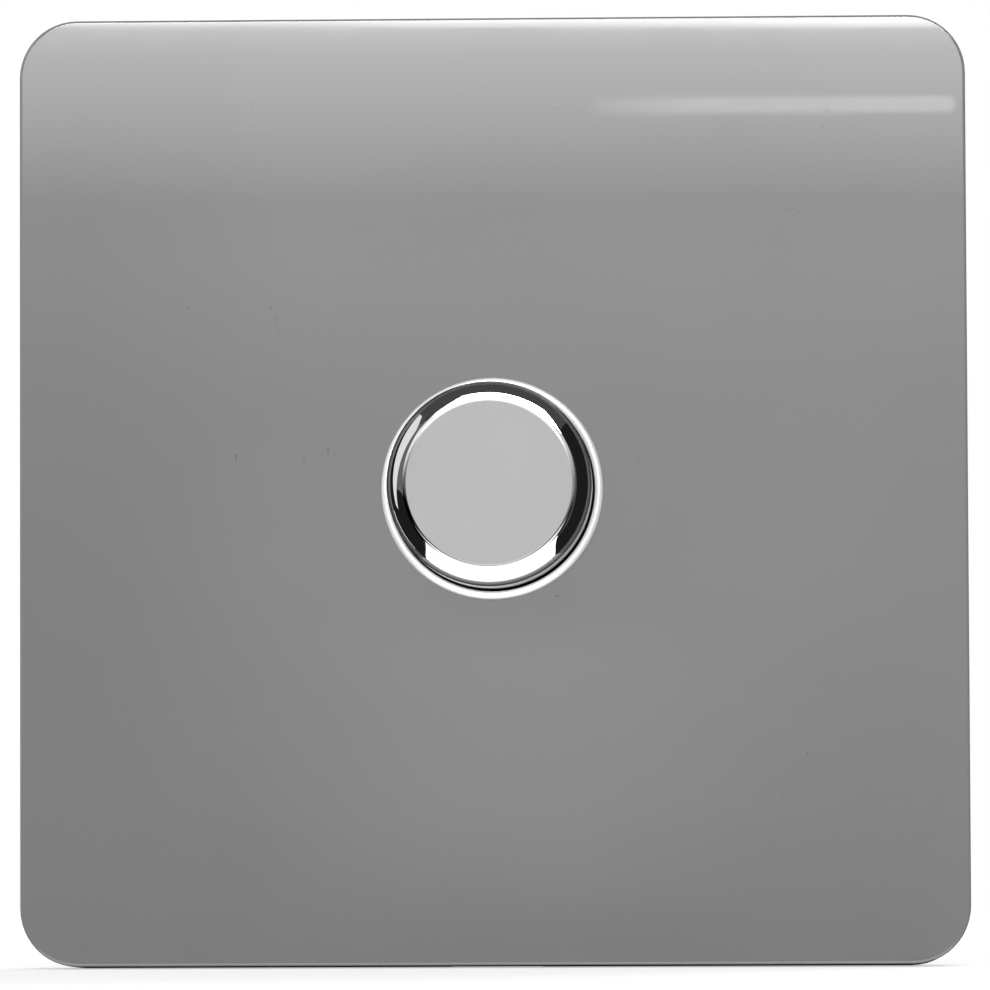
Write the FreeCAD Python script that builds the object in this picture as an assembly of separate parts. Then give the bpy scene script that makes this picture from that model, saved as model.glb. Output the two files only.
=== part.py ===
import FreeCAD, Part
import math
import os

# One-gang rotary dimmer switch for a wall box. A gloss front plate clips over a plastic frame, the frame
# carries a closed dimmer module, and a metal knob on the module's spindle turns to dim and pushes to switch.
# Sizes are in millimetres. Each piece is drawn on a bench frame: x to the right, y up, z out of the wall and
# into the room, the wall surface at z = 0 and the knob on the z axis. stand_on_wall then turns it upright,
# with the room along -Y and +Z up.

V = FreeCAD.Vector
ORIGIN = V(0, 0, 0)
TO_ROOM = V(0, 0, 1)
UPWARD = V(0, 1, 0)
TO_RIGHT = V(1, 0, 0)
FULL_TURN = 360.0
QUARTER_TURN = 90.0

# Front plate
PLATE_WIDTH = 95.0
PLATE_HEIGHT = 95.0
PLATE_DEPTH = 9.0
PLATE_CORNER_R = 6.0
PLATE_EDGE_R = 0.3
PLATE_DRAFT = 0.25
PLATE_SIDE_WALL = 2.2
PLATE_FRONT_WALL = 2.2
PLATE_WALL_GAP = 0.3
SPINDLE_HOLE_R = 6.2
SPINDLE_HOLE_BEVEL = 0.4
LUG_LENGTH = 12.0
LUG_REACH = 0.8
LUG_HEIGHT = 1.4
LUG_LAND = 0.5
LUG_LEVEL = 2.9
LUG_SPACING = 50.0
LUG_CLEARANCE = 0.2
PRY_NOTCH_WIDTH = 9.0
PRY_NOTCH_RISE = 1.2

# Mounting frame
FRAME_CLEARANCE = 0.25
FRAME_FLOOR = 2.0
FRAME_RIM = 1.6
RIB_START_R = 12.0
RIB_THICKNESS = 1.2
RIB_RISE = 2.4
BOX_SCREW_SPACING = 60.3
BOX_SLOT_WIDTH = 4.2
BOX_SLOT_LENGTH = 6.4
SEAT_DEPTH = 0.5
SEAT_CLEARANCE = 0.4

# Module housing
MODULE_WIDTH = 48.0
MODULE_HEIGHT = 52.0
MODULE_RISE = -2.0
MODULE_DEPTH = 24.0
MODULE_CORNER_R = 3.0
MODULE_EDGE_BEVEL = 0.8
CASE_WALL = 1.6
HEATSINK_T = 1.5
POST_R = 2.8
POST_INSET = 2.0
CASE_SCREW_R = 1.25
CASE_SCREW_HEAD_R = 2.4
CASE_SCREW_HEAD_T = 0.9
CASE_SCREW_SLOT = 0.7
CASE_SCREW_RECESS = 1.0
CASE_SCREW_RECESS_MARGIN = 0.3
CASE_SCREW_TIP_GAP = 0.3
SCREW_CLEARANCE = 0.05
VENT_COUNT = 6
VENT_WIDTH = 1.8
VENT_PITCH = 5.0
VENT_LENGTH = 9.0

# Bush, nut and washer
BUSH_R = 5.0
BUSH_CLEARANCE = 0.1
BUSH_FLANGE_R = 7.0
BUSH_FLANGE_T = 1.0
BUSH_STAND = 1.0
WASHER_R = 7.6
WASHER_T = 0.6
WASHER_SPLIT = 1.0
NUT_SIDES = 6
NUT_ACROSS_FLATS = 13.0
NUT_T = 2.4

# Spindle
SHAFT_R = 3.0
SHAFT_FLAT = 1.5
SHAFT_TIP_BEVEL = 0.5
SHAFT_REAR_R = 2.5
SHAFT_REAR_FLAT = 1.6
SHAFT_GROOVE_R = 2.0
RUNNING_CLEARANCE = 0.03
KEY_CLEARANCE = 0.06
PUSH_TRAVEL = 1.5
CLIP_R = 4.4
CLIP_T = 0.6
CLIP_MOUTH = 3.0
CLIP_ROOM = 0.4

# Knob
KNOB_GAP = 1.8
KNOB_HEIGHT = 12.0
KNOB_LIP_WIDTH = 0.6
KNOB_LIP_HEIGHT = 1.3
KNOB_LIP_BEVEL = 0.15
KNOB_GROOVE_WIDTH = 0.2
KNOB_GROOVE_DEPTH = 0.9
KNOB_WALL_R = 10.2
KNOB_SHOULDER_R = 2.2
KNOB_WALL = 1.4
KNOB_TOP_T = 1.6
KNOB_BOSS_R = 4.8
KNOB_BOSS_RECESS = 0.5
KNOB_RIB_COUNT = 6
KNOB_RIB_T = 1.0
KNOB_RIB_RECESS = 3.5
SOCKET_CLEARANCE = 0.05
SOCKET_ROOM = 0.6
GRIP_T = 0.4
GRIP_WIDTH = 4.0

# Potentiometer
CAN_R = 8.5
CAN_T = 0.5
CAN_HOLE_R = 4.7
ROTOR_R = 7.4
ROTOR_T = 1.6
ROTOR_END_PLAY = 0.1
STOP_LUG_R = 7.0
STOP_LUG_INNER_R = 5.0
STOP_LUG_HALF = 32.0
STOP_TAB_HALF = 12.0
STOP_TAB_DROP = 1.0
STOP_SLACK = 1.0
STOP_ANGLE = -90.0
WIPER_T = 0.3
WIPER_WIDTH = 3.0
WIPER_OUTER_R = 6.8
WIPER_INNER_R = 3.2
WIPER_ROOM = 0.9
FINGER_WIDTH = 0.9
FINGER_CLEARANCE = 0.05
WAFER_T = 1.5
WAFER_HOLE_R = 3.0
TAIL_DROP = 13.0
TERMINAL_LEG_PITCH = 5.0
LEG_WIDTH = 1.0
LEG_T = 0.4
LEG_FOOT = 2.5

# Push switch behind the potentiometer
SWITCH_SIZE = 15.0
SWITCH_CAVITY = 9.4
SWITCH_FLOOR = 0.8
PLUNGER_CLEARANCE = 0.2
PLUNGER_DROP = 1.5
PLUNGER_HEAD_T = 3.0
PLUNGER_STEM_R = 1.4
PLUNGER_REST_GAP = 0.05
STEM_END_ROOM = 0.5
CAM_TRACK_WIDTH = 1.6
CAM_TRACK_DEPTH = 1.1
CAM_LOOP_REACH = 2.6
CAM_LOOP_HEIGHT = 1.8
CAM_ISLAND_SIZE = 0.55
LATCH_PIN_R = 0.35
LATCH_FOOT = 2.4
SPRING_R = 2.4
SPRING_WIRE = 0.5
SPRING_TURNS = 4
SPRING_STEPS = 10
SPRING_SEAT_GAP = 0.05
CONTACT_T = 0.3
CONTACT_WIDTH = 1.0
CONTACT_LENGTH = 7.2
CONTACT_RISE = 3.9
CONTACT_PIN_PITCH = 5.6
CONTACT_PIN_WIDTH = 0.9
CONTACT_GAP = 0.05

# Circuit board and wire terminals
BOARD_T = 1.6
BOARD_CLEARANCE = 0.5
SOLDER_ROOM = 1.4
LEG_END = 0.8
LEG_HOLE_MARGIN = 0.15
STANDOFF_SIZE = 3.0
STANDOFF_INSET = 6.0
TERMINAL_COUNT = 3
TERMINAL_PITCH = 11.0
TERMINAL_WIDTH = 7.4
TERMINAL_LENGTH = 9.0
TERMINAL_DEPTH = 9.0
TERMINAL_BORE_R = 2.0
TERMINAL_BORE_LEVEL = 5.9
TERMINAL_TAB_WIDTH = 3.0
TERMINAL_TAB_LENGTH = 1.8
TERMINAL_TAB_T = 0.8
WIRE_HOLE_MARGIN = 0.4
TERMINAL_SCREW_R = 1.65
TERMINAL_SCREW_HEAD_R = 2.5
TERMINAL_SCREW_HEAD_T = 2.0
TERMINAL_SCREW_LIFT = 0.4
TERMINAL_SCREW_TIP_GAP = 0.2
TERMINAL_SCREW_SLOT = 0.8
TERMINAL_SCREW_HOLE_MARGIN = 0.4

# Power stage and small components
PAD_T = 0.2
TRANSISTOR_WIDTH = 10.0
TRANSISTOR_BODY = 9.2
TRANSISTOR_BODY_T = 4.5
TRANSISTOR_TAB = 6.4
TRANSISTOR_TAB_T = 1.3
TRANSISTOR_WALL_GAP = 1.0
TRANSISTOR_LEG_PITCH = 2.54
TRANSISTOR_LEG_WIDTH = 0.7
TRANSISTOR_LEG_REACH = 1.5
TRANSISTOR_LEG_LEVEL = 2.9
CHOKE_WIDTH = 11.0
CHOKE_HEIGHT = 9.0
CHOKE_T = 4.0
CHOKE_LIMB = 3.0
CHOKE_YOKE = 1.6
CHOKE_COIL_BULGE = 1.6
CHOKE_COIL_GAP = 0.1
CHOKE_SIDE_ROOM = 8.6
CHOKE_TOP_ROOM = 5.2
FILM_CAP_WIDTH = 12.0
FILM_CAP_T = 5.0
FILM_CAP_RISE = 9.0
SMOOTHING_CAP_R = 3.2
SMOOTHING_CAP_RISE = 9.0
RECTIFIER_SIZE = 6.0
RECTIFIER_RISE = 3.0
CHIP_WIDTH = 5.0
CHIP_HEIGHT = 4.0
CHIP_RISE = 1.5
VARISTOR_R = 4.0
VARISTOR_T = 3.0
VARISTOR_LEG = 1.2
VARISTOR_LEG_PITCH = 5.0
FUSE_WIDTH = 3.0
FUSE_LENGTH = 7.0
FUSE_RISE = 4.0
FUSE_LEG = 1.0
RESISTOR_WIDTH = 3.2
RESISTOR_HEIGHT = 1.6
RESISTOR_RISE = 0.6
RESISTOR_COUNT = 3
RESISTOR_PITCH = 2.6
COMPONENT_LEG = 0.6
WALL_ROOM = 0.8
SIDE_COLUMN = 5.0
FUSE_COLUMN = 3.0
VARISTOR_COLUMN = 8.0
SMOOTHING_CAP_Y = 4.5
RECTIFIER_Y = -4.0
FUSE_Y = -2.0
RESISTOR_X = -1.0

# Plate and frame levels, counted from the wall towards the room
PLATE_INNER_WIDTH = PLATE_WIDTH - 2 * PLATE_SIDE_WALL
PLATE_INNER_HEIGHT = PLATE_HEIGHT - 2 * PLATE_SIDE_WALL
PLATE_INNER_CORNER_R = PLATE_CORNER_R - PLATE_SIDE_WALL
PLATE_BACK = PLATE_DEPTH - PLATE_FRONT_WALL
WASHER_FRONT = FRAME_FLOOR + WASHER_T
NUT_FRONT = WASHER_FRONT + NUT_T
BUSH_FRONT = NUT_FRONT + BUSH_STAND

# Module levels and places
HEATSINK_FRONT = SEAT_DEPTH
HEATSINK_REAR = HEATSINK_FRONT - HEATSINK_T
CASE_INSIDE = CASE_WALL - MODULE_DEPTH
BOARD_REAR = CASE_INSIDE + SOLDER_ROOM
BOARD_FRONT = BOARD_REAR + BOARD_T
LEG_LEVEL = BOARD_REAR - LEG_END
INNER_HALF = MODULE_WIDTH / 2 - CASE_WALL
INNER_TOP = MODULE_RISE + MODULE_HEIGHT / 2 - CASE_WALL
INNER_BOTTOM = MODULE_RISE - MODULE_HEIGHT / 2 + CASE_WALL
POST_X = INNER_HALF - POST_INSET
POST_TOP = INNER_TOP - POST_INSET
POST_BOTTOM = INNER_BOTTOM + POST_INSET
TERMINAL_TOP = INNER_BOTTOM + TERMINAL_LENGTH
TERMINAL_Y = INNER_BOTTOM + TERMINAL_LENGTH / 2
TERMINAL_BORE_Z = CASE_INSIDE + TERMINAL_BORE_LEVEL
BOARD_BOTTOM = TERMINAL_TOP + BOARD_CLEARANCE
BOARD_TOP = INNER_TOP - BOARD_CLEARANCE

# Spindle, potentiometer and switch levels
BUSH_REAR = HEATSINK_REAR - BUSH_FLANGE_T
CLIP_REAR = BUSH_REAR - CLIP_T
CAN_WALL_REAR = BUSH_REAR - CAN_T
ROTOR_FRONT = CLIP_REAR - PUSH_TRAVEL - CLIP_ROOM
ROTOR_REAR = ROTOR_FRONT - ROTOR_T
WAFER_FRONT = ROTOR_REAR - WIPER_ROOM
WAFER_REAR = WAFER_FRONT - WAFER_T
LEG_ROW_Y = -TAIL_DROP + LEG_T / 2
PLUNGER_FRONT = WAFER_REAR - PLUNGER_DROP
PLUNGER_REAR = PLUNGER_FRONT - PLUNGER_HEAD_T
SHAFT_END = PLUNGER_FRONT + PLUNGER_REST_GAP
SWITCH_BASE = BOARD_FRONT + SWITCH_FLOOR
BRIDGE_REAR = PLUNGER_REAR - CONTACT_T
PLUNGER_HEAD = SWITCH_CAVITY - 2 * PLUNGER_CLEARANCE

# Knob levels and lip
KNOB_UNDERSIDE = PLATE_DEPTH + KNOB_GAP
KNOB_TOP = KNOB_UNDERSIDE + KNOB_HEIGHT
KNOB_INSIDE = KNOB_TOP - KNOB_TOP_T
KNOB_BOSS_END = KNOB_UNDERSIDE + KNOB_BOSS_RECESS
KNOB_LIP_INNER_R = KNOB_WALL_R + KNOB_GROOVE_WIDTH
KNOB_LIP_R = KNOB_LIP_INNER_R + KNOB_LIP_WIDTH
SHAFT_TIP = KNOB_INSIDE - SOCKET_ROOM

# Power stage places
TAB_FRONT = HEATSINK_REAR - PAD_T
TAB_REAR = TAB_FRONT - TRANSISTOR_TAB_T
TRANSISTOR_X = INNER_HALF - TRANSISTOR_WALL_GAP - TRANSISTOR_WIDTH / 2
TRANSISTOR_LENGTH = TRANSISTOR_BODY + TRANSISTOR_TAB
TRANSISTOR_BOTTOM = -TRANSISTOR_LENGTH / 2
TRANSISTOR_LEG_Y = TRANSISTOR_BOTTOM - TRANSISTOR_LEG_REACH


def block(width, height, low, high, x=0.0, y=0.0):
    """Box centred on (x, y), between two depths."""
    return Part.makeBox(width, height, high - low, V(x - width / 2, y - height / 2, low))


def rod(radius, low, high, x=0.0, y=0.0):
    """Round bar along the knob axis, between two depths."""
    return Part.makeCylinder(radius, high - low, V(x, y, low), TO_ROOM)


def tube(outer, inner, low, high, x=0.0, y=0.0):
    """Round bar with a hole right through it."""
    return rod(outer, low, high, x, y).cut(rod(inner, low, high, x, y))


def upright_rod(radius, bottom, top, x, z):
    """Round bar that stands up along y."""
    return Part.makeCylinder(radius, top - bottom, V(x, bottom, z), UPWARD)


def level_rod(radius, left, right, y, z):
    """Round bar that lies along x."""
    return Part.makeCylinder(radius, right - left, V(left, y, z), TO_RIGHT)


def rounded_outline(width, height, radius, level, x=0.0, y=0.0):
    """Closed rectangle with round corners, drawn at one depth."""
    across = width / 2 - radius
    up = height / 2 - radius
    arcs = []
    for turn, (side, rise) in enumerate(((1, 1), (-1, 1), (-1, -1), (1, -1))):
        centre = V(x + side * across, y + rise * up, level)
        start = turn * QUARTER_TURN
        arcs.append(Part.makeCircle(radius, centre, TO_ROOM, start, start + QUARTER_TURN))
    edges = []
    for arc, following in zip(arcs, arcs[1:] + arcs[:1]):
        edges.append(arc)
        edges.append(Part.makeLine(arc.Vertexes[-1].Point, following.Vertexes[0].Point))
    return Part.Wire(edges)


def slab(width, height, radius, low, high, x=0.0, y=0.0):
    """Plate with round corners, between two depths."""
    outline = rounded_outline(width, height, radius, low, x, y)
    return Part.Face(outline).extrude(V(0, 0, high - low))


def slot(length, width, low, high, x=0.0, y=0.0):
    """Long hole with round ends, its length along x."""
    straight = length - width
    ends = [rod(width / 2, low, high, x + side * straight / 2, y) for side in (-1, 1)]
    return block(straight, width, low, high, x, y).multiFuse(ends).removeSplitter()


def turned(corners):
    """Solid swept once round the knob axis from (radius, depth) corners."""
    points = [V(radius, 0, depth) for radius, depth in corners]
    return Part.Face(Part.makePolygon(points + points[:1])).revolve(ORIGIN, TO_ROOM, FULL_TURN)


def sector(outer, inner, low, high, middle, half):
    """Piece of a ring, half as many degrees to each side of a middle angle."""
    points = [V(inner, 0, low), V(outer, 0, low), V(outer, 0, high), V(inner, 0, high)]
    face = Part.Face(Part.makePolygon(points + points[:1]))
    return face.rotated(ORIGIN, TO_ROOM, middle - half).revolve(ORIGIN, TO_ROOM, 2 * half)


def d_bar(radius, flat, low, high):
    """Round bar with one flat on its right, at a distance from the axis."""
    keep = Part.makeBox(radius + flat, 2 * radius, high - low, V(-radius, -radius, low))
    return rod(radius, low, high).common(keep)


def edges_at(shape, level):
    """Edges of a shape that lie wholly at one depth."""
    close = 1e-6
    return [edge for edge in shape.Edges
            if abs(edge.BoundBox.ZMin - level) < close and abs(edge.BoundBox.ZMax - level) < close]


def terminal_columns():
    """Places across the module of the wire terminals, from left to right."""
    first = -(TERMINAL_COUNT - 1) / 2
    return [(first + index) * TERMINAL_PITCH for index in range(TERMINAL_COUNT)]


def post_places():
    """Opposite corners of the module where a post takes a case screw."""
    return [(-POST_X, POST_TOP), (POST_X, POST_BOTTOM)]


def lug_sides():
    """Turn, distance to the plate's inner wall and place along it, for each snap lug."""
    for turn in range(4):
        inner = PLATE_INNER_HEIGHT if turn % 2 else PLATE_INNER_WIDTH
        for side in (-1, 1):
            yield turn * QUARTER_TURN, inner / 2, side * LUG_SPACING / 2


def front_plate():
    """Square tray with a drafted skirt, a rounded front edge, a spindle hole and snap lugs inside."""
    rear = rounded_outline(PLATE_WIDTH, PLATE_HEIGHT, PLATE_CORNER_R, PLATE_WALL_GAP)
    front = rounded_outline(PLATE_WIDTH - 2 * PLATE_DRAFT, PLATE_HEIGHT - 2 * PLATE_DRAFT,
                            PLATE_CORNER_R - PLATE_DRAFT, PLATE_DEPTH)
    tray = Part.makeLoft([rear, front], True, True)
    tray = tray.makeFillet(PLATE_EDGE_R, edges_at(tray, PLATE_DEPTH))
    hollow = slab(PLATE_INNER_WIDTH, PLATE_INNER_HEIGHT, PLATE_INNER_CORNER_R, PLATE_WALL_GAP, PLATE_BACK)
    spindle_hole = turned([(0, PLATE_BACK), (SPINDLE_HOLE_R, PLATE_BACK),
                           (SPINDLE_HOLE_R, PLATE_DEPTH - SPINDLE_HOLE_BEVEL),
                           (SPINDLE_HOLE_R + SPINDLE_HOLE_BEVEL, PLATE_DEPTH), (0, PLATE_DEPTH)])
    notch_y = -(PLATE_HEIGHT - PLATE_SIDE_WALL) / 2
    pry_notch = block(PRY_NOTCH_WIDTH, 2 * PLATE_SIDE_WALL, PLATE_WALL_GAP, PLATE_WALL_GAP + PRY_NOTCH_RISE,
                      0, notch_y)
    return tray.cut(hollow).cut(spindle_hole).cut(pry_notch).multiFuse(snap_lugs()).removeSplitter()


def snap_lugs():
    """Wedges on the inner walls of the plate: a ramp on the wall side and a catch on the room side."""
    root = PLATE_SIDE_WALL / 2
    catch = LUG_LEVEL + LUG_HEIGHT
    lugs = []
    for turn, wall, place in lug_sides():
        start = place - LUG_LENGTH / 2
        tip = wall - LUG_REACH
        corners = [(wall + root, LUG_LEVEL), (wall, LUG_LEVEL), (tip, catch - LUG_LAND), (tip, catch),
                   (wall + root, catch)]
        outline = [V(across, start, level) for across, level in corners]
        wedge = Part.Face(Part.makePolygon(outline + outline[:1])).extrude(V(0, LUG_LENGTH, 0))
        lugs.append(wedge.rotated(ORIGIN, TO_ROOM, turn))
    return lugs


def mounting_frame():
    """Shallow tray screwed to the wall box: windows for the lugs, ribs, screw slots and a module seat."""
    width = PLATE_INNER_WIDTH - 2 * FRAME_CLEARANCE
    height = PLATE_INNER_HEIGHT - 2 * FRAME_CLEARANCE
    corner = PLATE_INNER_CORNER_R - FRAME_CLEARANCE
    outer = slab(width, height, corner, 0, PLATE_BACK)
    inside = slab(width - 2 * FRAME_RIM, height - 2 * FRAME_RIM, corner - FRAME_RIM, FRAME_FLOOR, PLATE_BACK)
    rib_top = FRAME_FLOOR + RIB_RISE
    reach = math.hypot(width, height) / 2 - RIB_START_R
    slant = math.degrees(math.atan2(height, width))
    ribs = []
    for turn in range(4):
        spoke = block(reach, RIB_THICKNESS, 0, rib_top, RIB_START_R + reach / 2)
        angle = slant if turn % 2 == 0 else -slant
        ribs.append(spoke.rotated(ORIGIN, TO_ROOM, angle + (turn // 2) * 2 * QUARTER_TURN).common(outer))
    tray = outer.cut(inside).multiFuse(ribs)
    seat = slab(MODULE_WIDTH + 2 * SEAT_CLEARANCE, MODULE_HEIGHT + 2 * SEAT_CLEARANCE,
                MODULE_CORNER_R + SEAT_CLEARANCE, 0, SEAT_DEPTH, 0, MODULE_RISE)
    cuts = [seat, rod(BUSH_R + BUSH_CLEARANCE, 0, FRAME_FLOOR)]
    for side in (-1, 1):
        x = side * BOX_SCREW_SPACING / 2
        cuts.append(slot(BOX_SLOT_LENGTH, BOX_SLOT_WIDTH, 0, FRAME_FLOOR, x))
    for turn, wall, place in lug_sides():
        depth = FRAME_CLEARANCE + FRAME_RIM
        window = block(2 * depth, LUG_LENGTH + 2 * LUG_CLEARANCE, LUG_LEVEL - LUG_CLEARANCE,
                       LUG_LEVEL + LUG_HEIGHT + LUG_CLEARANCE, wall, place)
        cuts.append(window.rotated(ORIGIN, TO_ROOM, turn))
    return tray.cut(cuts).removeSplitter()


def lock_washer():
    """Split spring washer under the nut."""
    washer = tube(WASHER_R, BUSH_R + BUSH_CLEARANCE, FRAME_FLOOR, WASHER_FRONT)
    return washer.cut(block(WASHER_SPLIT, WASHER_R, FRAME_FLOOR, WASHER_FRONT, 0, WASHER_R / 2))


def bush_nut():
    """Hexagon nut that clamps the module to the frame."""
    corner = NUT_ACROSS_FLATS / 2 / math.cos(math.pi / NUT_SIDES)
    angles = [2 * math.pi * index / NUT_SIDES for index in range(NUT_SIDES)]
    points = [V(corner * math.cos(angle), corner * math.sin(angle), WASHER_FRONT) for angle in angles]
    prism = Part.Face(Part.makePolygon(points + points[:1])).extrude(V(0, 0, NUT_T))
    return prism.cut(rod(BUSH_R + BUSH_CLEARANCE, WASHER_FRONT, NUT_FRONT))


def threaded_bush():
    """Brass sleeve that guides the spindle, with a flange behind the heatsink."""
    bore = SHAFT_R + RUNNING_CLEARANCE
    return turned([(bore, BUSH_REAR), (BUSH_FLANGE_R, BUSH_REAR), (BUSH_FLANGE_R, HEATSINK_REAR),
                   (BUSH_R, HEATSINK_REAR), (BUSH_R, BUSH_FRONT), (bore, BUSH_FRONT)])


def case_screws():
    """Two slotted screws from the rear, through the posts and into the heatsink."""
    head_front = CASE_SCREW_RECESS - MODULE_DEPTH
    head_rear = head_front - CASE_SCREW_HEAD_T
    screws = []
    for x, y in post_places():
        head = rod(CASE_SCREW_HEAD_R, head_rear, head_front, x, y)
        shank = rod(CASE_SCREW_R, head_front, HEATSINK_FRONT - CASE_SCREW_TIP_GAP, x, y)
        driver_slot = block(2 * CASE_SCREW_HEAD_R, CASE_SCREW_SLOT, head_rear,
                            head_rear + CASE_SCREW_HEAD_T / 2, x, y)
        screws.append(head.fuse(shank).cut(driver_slot))
    return Part.makeCompound(screws)


def heatsink_plate():
    """Aluminium sheet that closes the module, cools the transistors and sits in the frame's seat."""
    sheet = slab(MODULE_WIDTH, MODULE_HEIGHT, MODULE_CORNER_R, HEATSINK_REAR, HEATSINK_FRONT, 0, MODULE_RISE)
    holes = [rod(BUSH_R + BUSH_CLEARANCE, HEATSINK_REAR, HEATSINK_FRONT)]
    for x, y in post_places():
        holes.append(rod(CASE_SCREW_R + SCREW_CLEARANCE, HEATSINK_REAR, HEATSINK_FRONT, x, y))
    return sheet.cut(holes)


def module_case():
    """Moulded tub with screw posts, board stand-offs, vents, wire holes and terminal screw holes."""
    tub = slab(MODULE_WIDTH, MODULE_HEIGHT, MODULE_CORNER_R, -MODULE_DEPTH, HEATSINK_REAR, 0, MODULE_RISE)
    tub = tub.makeChamfer(MODULE_EDGE_BEVEL, edges_at(tub, -MODULE_DEPTH))
    inside = slab(2 * INNER_HALF, INNER_TOP - INNER_BOTTOM, MODULE_CORNER_R - CASE_WALL, CASE_INSIDE,
                  HEATSINK_REAR, 0, MODULE_RISE)
    posts = [rod(POST_R, CASE_INSIDE, HEATSINK_REAR, x, y) for x, y in post_places()]
    for side in (-1, 1):
        x = side * (POST_X - STANDOFF_INSET)
        for y in (BOARD_TOP - STANDOFF_SIZE, BOARD_BOTTOM + STANDOFF_SIZE):
            posts.append(block(STANDOFF_SIZE, STANDOFF_SIZE, CASE_INSIDE, BOARD_REAR, x, y))
    envelope = slab(MODULE_WIDTH - CASE_WALL, MODULE_HEIGHT - CASE_WALL, MODULE_CORNER_R, CASE_INSIDE,
                    HEATSINK_REAR, 0, MODULE_RISE)
    posts = [post.common(envelope) for post in posts]
    shell = tub.cut(inside).multiFuse(posts)
    cuts = []
    for x, y in post_places():
        cuts.append(rod(CASE_SCREW_R + SCREW_CLEARANCE, -MODULE_DEPTH, HEATSINK_REAR, x, y))
        cuts.append(rod(CASE_SCREW_HEAD_R + CASE_SCREW_RECESS_MARGIN, -MODULE_DEPTH,
                        CASE_SCREW_RECESS - MODULE_DEPTH, x, y))
    return shell.cut(cuts + terminal_openings() + vents()).removeSplitter()


def terminal_openings():
    """Wire holes in the bottom wall and screwdriver holes in the rear wall."""
    outside = INNER_BOTTOM - CASE_WALL
    wire_hole = TERMINAL_BORE_R + WIRE_HOLE_MARGIN
    screw_hole = TERMINAL_SCREW_HEAD_R + TERMINAL_SCREW_HOLE_MARGIN
    openings = []
    for x in terminal_columns():
        openings.append(upright_rod(wire_hole, outside, INNER_BOTTOM, x, TERMINAL_BORE_Z))
        openings.append(rod(screw_hole, -MODULE_DEPTH, CASE_INSIDE, x, TERMINAL_Y))
    return openings


def vents():
    """Rows of cooling slots through both side walls."""
    middle = (CASE_INSIDE + HEATSINK_REAR) / 2
    first = -(VENT_COUNT - 1) / 2
    slots = []
    for side in (-1, 1):
        for index in range(VENT_COUNT):
            y = (first + index) * VENT_PITCH
            slots.append(block(2 * CASE_WALL, VENT_WIDTH, middle - VENT_LENGTH / 2, middle + VENT_LENGTH / 2,
                               side * (MODULE_WIDTH / 2), y))
    return slots


def knob():
    """Turned cap: flat face, quarter-round shoulder, grooved lip, hollow inside with a ribbed boss."""
    flat_r = KNOB_WALL_R - KNOB_SHOULDER_R
    slant = math.sqrt(0.5)
    top = V(0, 0, KNOB_TOP)
    flat_edge = V(flat_r, 0, KNOB_TOP)
    shoulder = V(flat_r + KNOB_SHOULDER_R * slant, 0, KNOB_TOP - KNOB_SHOULDER_R * (1 - slant))
    wall_top = V(KNOB_WALL_R, 0, KNOB_TOP - KNOB_SHOULDER_R)
    lip_top = KNOB_UNDERSIDE + KNOB_LIP_HEIGHT
    lip_edge = lip_top - KNOB_LIP_BEVEL
    groove_floor = lip_top - KNOB_GROOVE_DEPTH
    groove = [(KNOB_WALL_R, groove_floor), (KNOB_LIP_INNER_R, groove_floor), (KNOB_LIP_INNER_R, lip_edge)]
    crest = [(KNOB_LIP_INNER_R + KNOB_LIP_BEVEL, lip_top), (KNOB_LIP_R - KNOB_LIP_BEVEL, lip_top)]
    side = [(KNOB_LIP_R, lip_edge), (KNOB_LIP_R, KNOB_UNDERSIDE), (0, KNOB_UNDERSIDE)]
    corners = [V(radius, 0, level) for radius, level in groove + crest + side]
    foot = Part.makePolygon([wall_top] + corners + [top])
    crown = [Part.makeLine(top, flat_edge), Part.Arc(flat_edge, shoulder, wall_top).toShape()]
    solid = Part.Face(Part.Wire(crown + foot.Edges)).revolve(ORIGIN, TO_ROOM, FULL_TURN)
    inner_r = KNOB_WALL_R - KNOB_WALL
    hollow = rod(inner_r, KNOB_UNDERSIDE, KNOB_INSIDE)
    inside = [rod(KNOB_BOSS_R, KNOB_BOSS_END, KNOB_INSIDE)]
    for index in range(KNOB_RIB_COUNT):
        reach = inner_r + KNOB_WALL / 2
        rib = block(reach, KNOB_RIB_T, KNOB_UNDERSIDE + KNOB_RIB_RECESS, KNOB_INSIDE, reach / 2)
        inside.append(rib.rotated(ORIGIN, TO_ROOM, (index + 0.5) * FULL_TURN / KNOB_RIB_COUNT))
    socket = d_bar(SHAFT_R + SOCKET_CLEARANCE, SHAFT_FLAT + GRIP_T + 2 * SOCKET_CLEARANCE, KNOB_BOSS_END,
                   KNOB_INSIDE)
    return solid.cut(hollow).multiFuse(inside).cut(socket).removeSplitter()


def knob_grip_spring():
    """Flat spring that presses the knob's socket onto the flat of the spindle."""
    x = SHAFT_FLAT + SOCKET_CLEARANCE + GRIP_T / 2
    return block(GRIP_T, GRIP_WIDTH, KNOB_BOSS_END, SHAFT_TIP, x)


def pot_shaft():
    """Spindle: D front for the knob, round journal, clip groove and D rear that drives the rotor."""
    journal = rod(SHAFT_R, BUSH_REAR, SHAFT_TIP - SHAFT_TIP_BEVEL)
    tip = Part.makeCone(SHAFT_R, SHAFT_R - SHAFT_TIP_BEVEL, SHAFT_TIP_BEVEL,
                        V(0, 0, SHAFT_TIP - SHAFT_TIP_BEVEL), TO_ROOM)
    flat_start = KNOB_BOSS_END - PUSH_TRAVEL
    flat_cut = block(2 * SHAFT_R, 2 * SHAFT_R, flat_start, SHAFT_TIP, SHAFT_FLAT + SHAFT_R)
    groove = rod(SHAFT_GROOVE_R, CLIP_REAR, BUSH_REAR)
    rear = d_bar(SHAFT_REAR_R, SHAFT_REAR_FLAT, SHAFT_END, CLIP_REAR)
    return journal.multiFuse([tip, groove, rear]).cut(flat_cut).removeSplitter()


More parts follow.
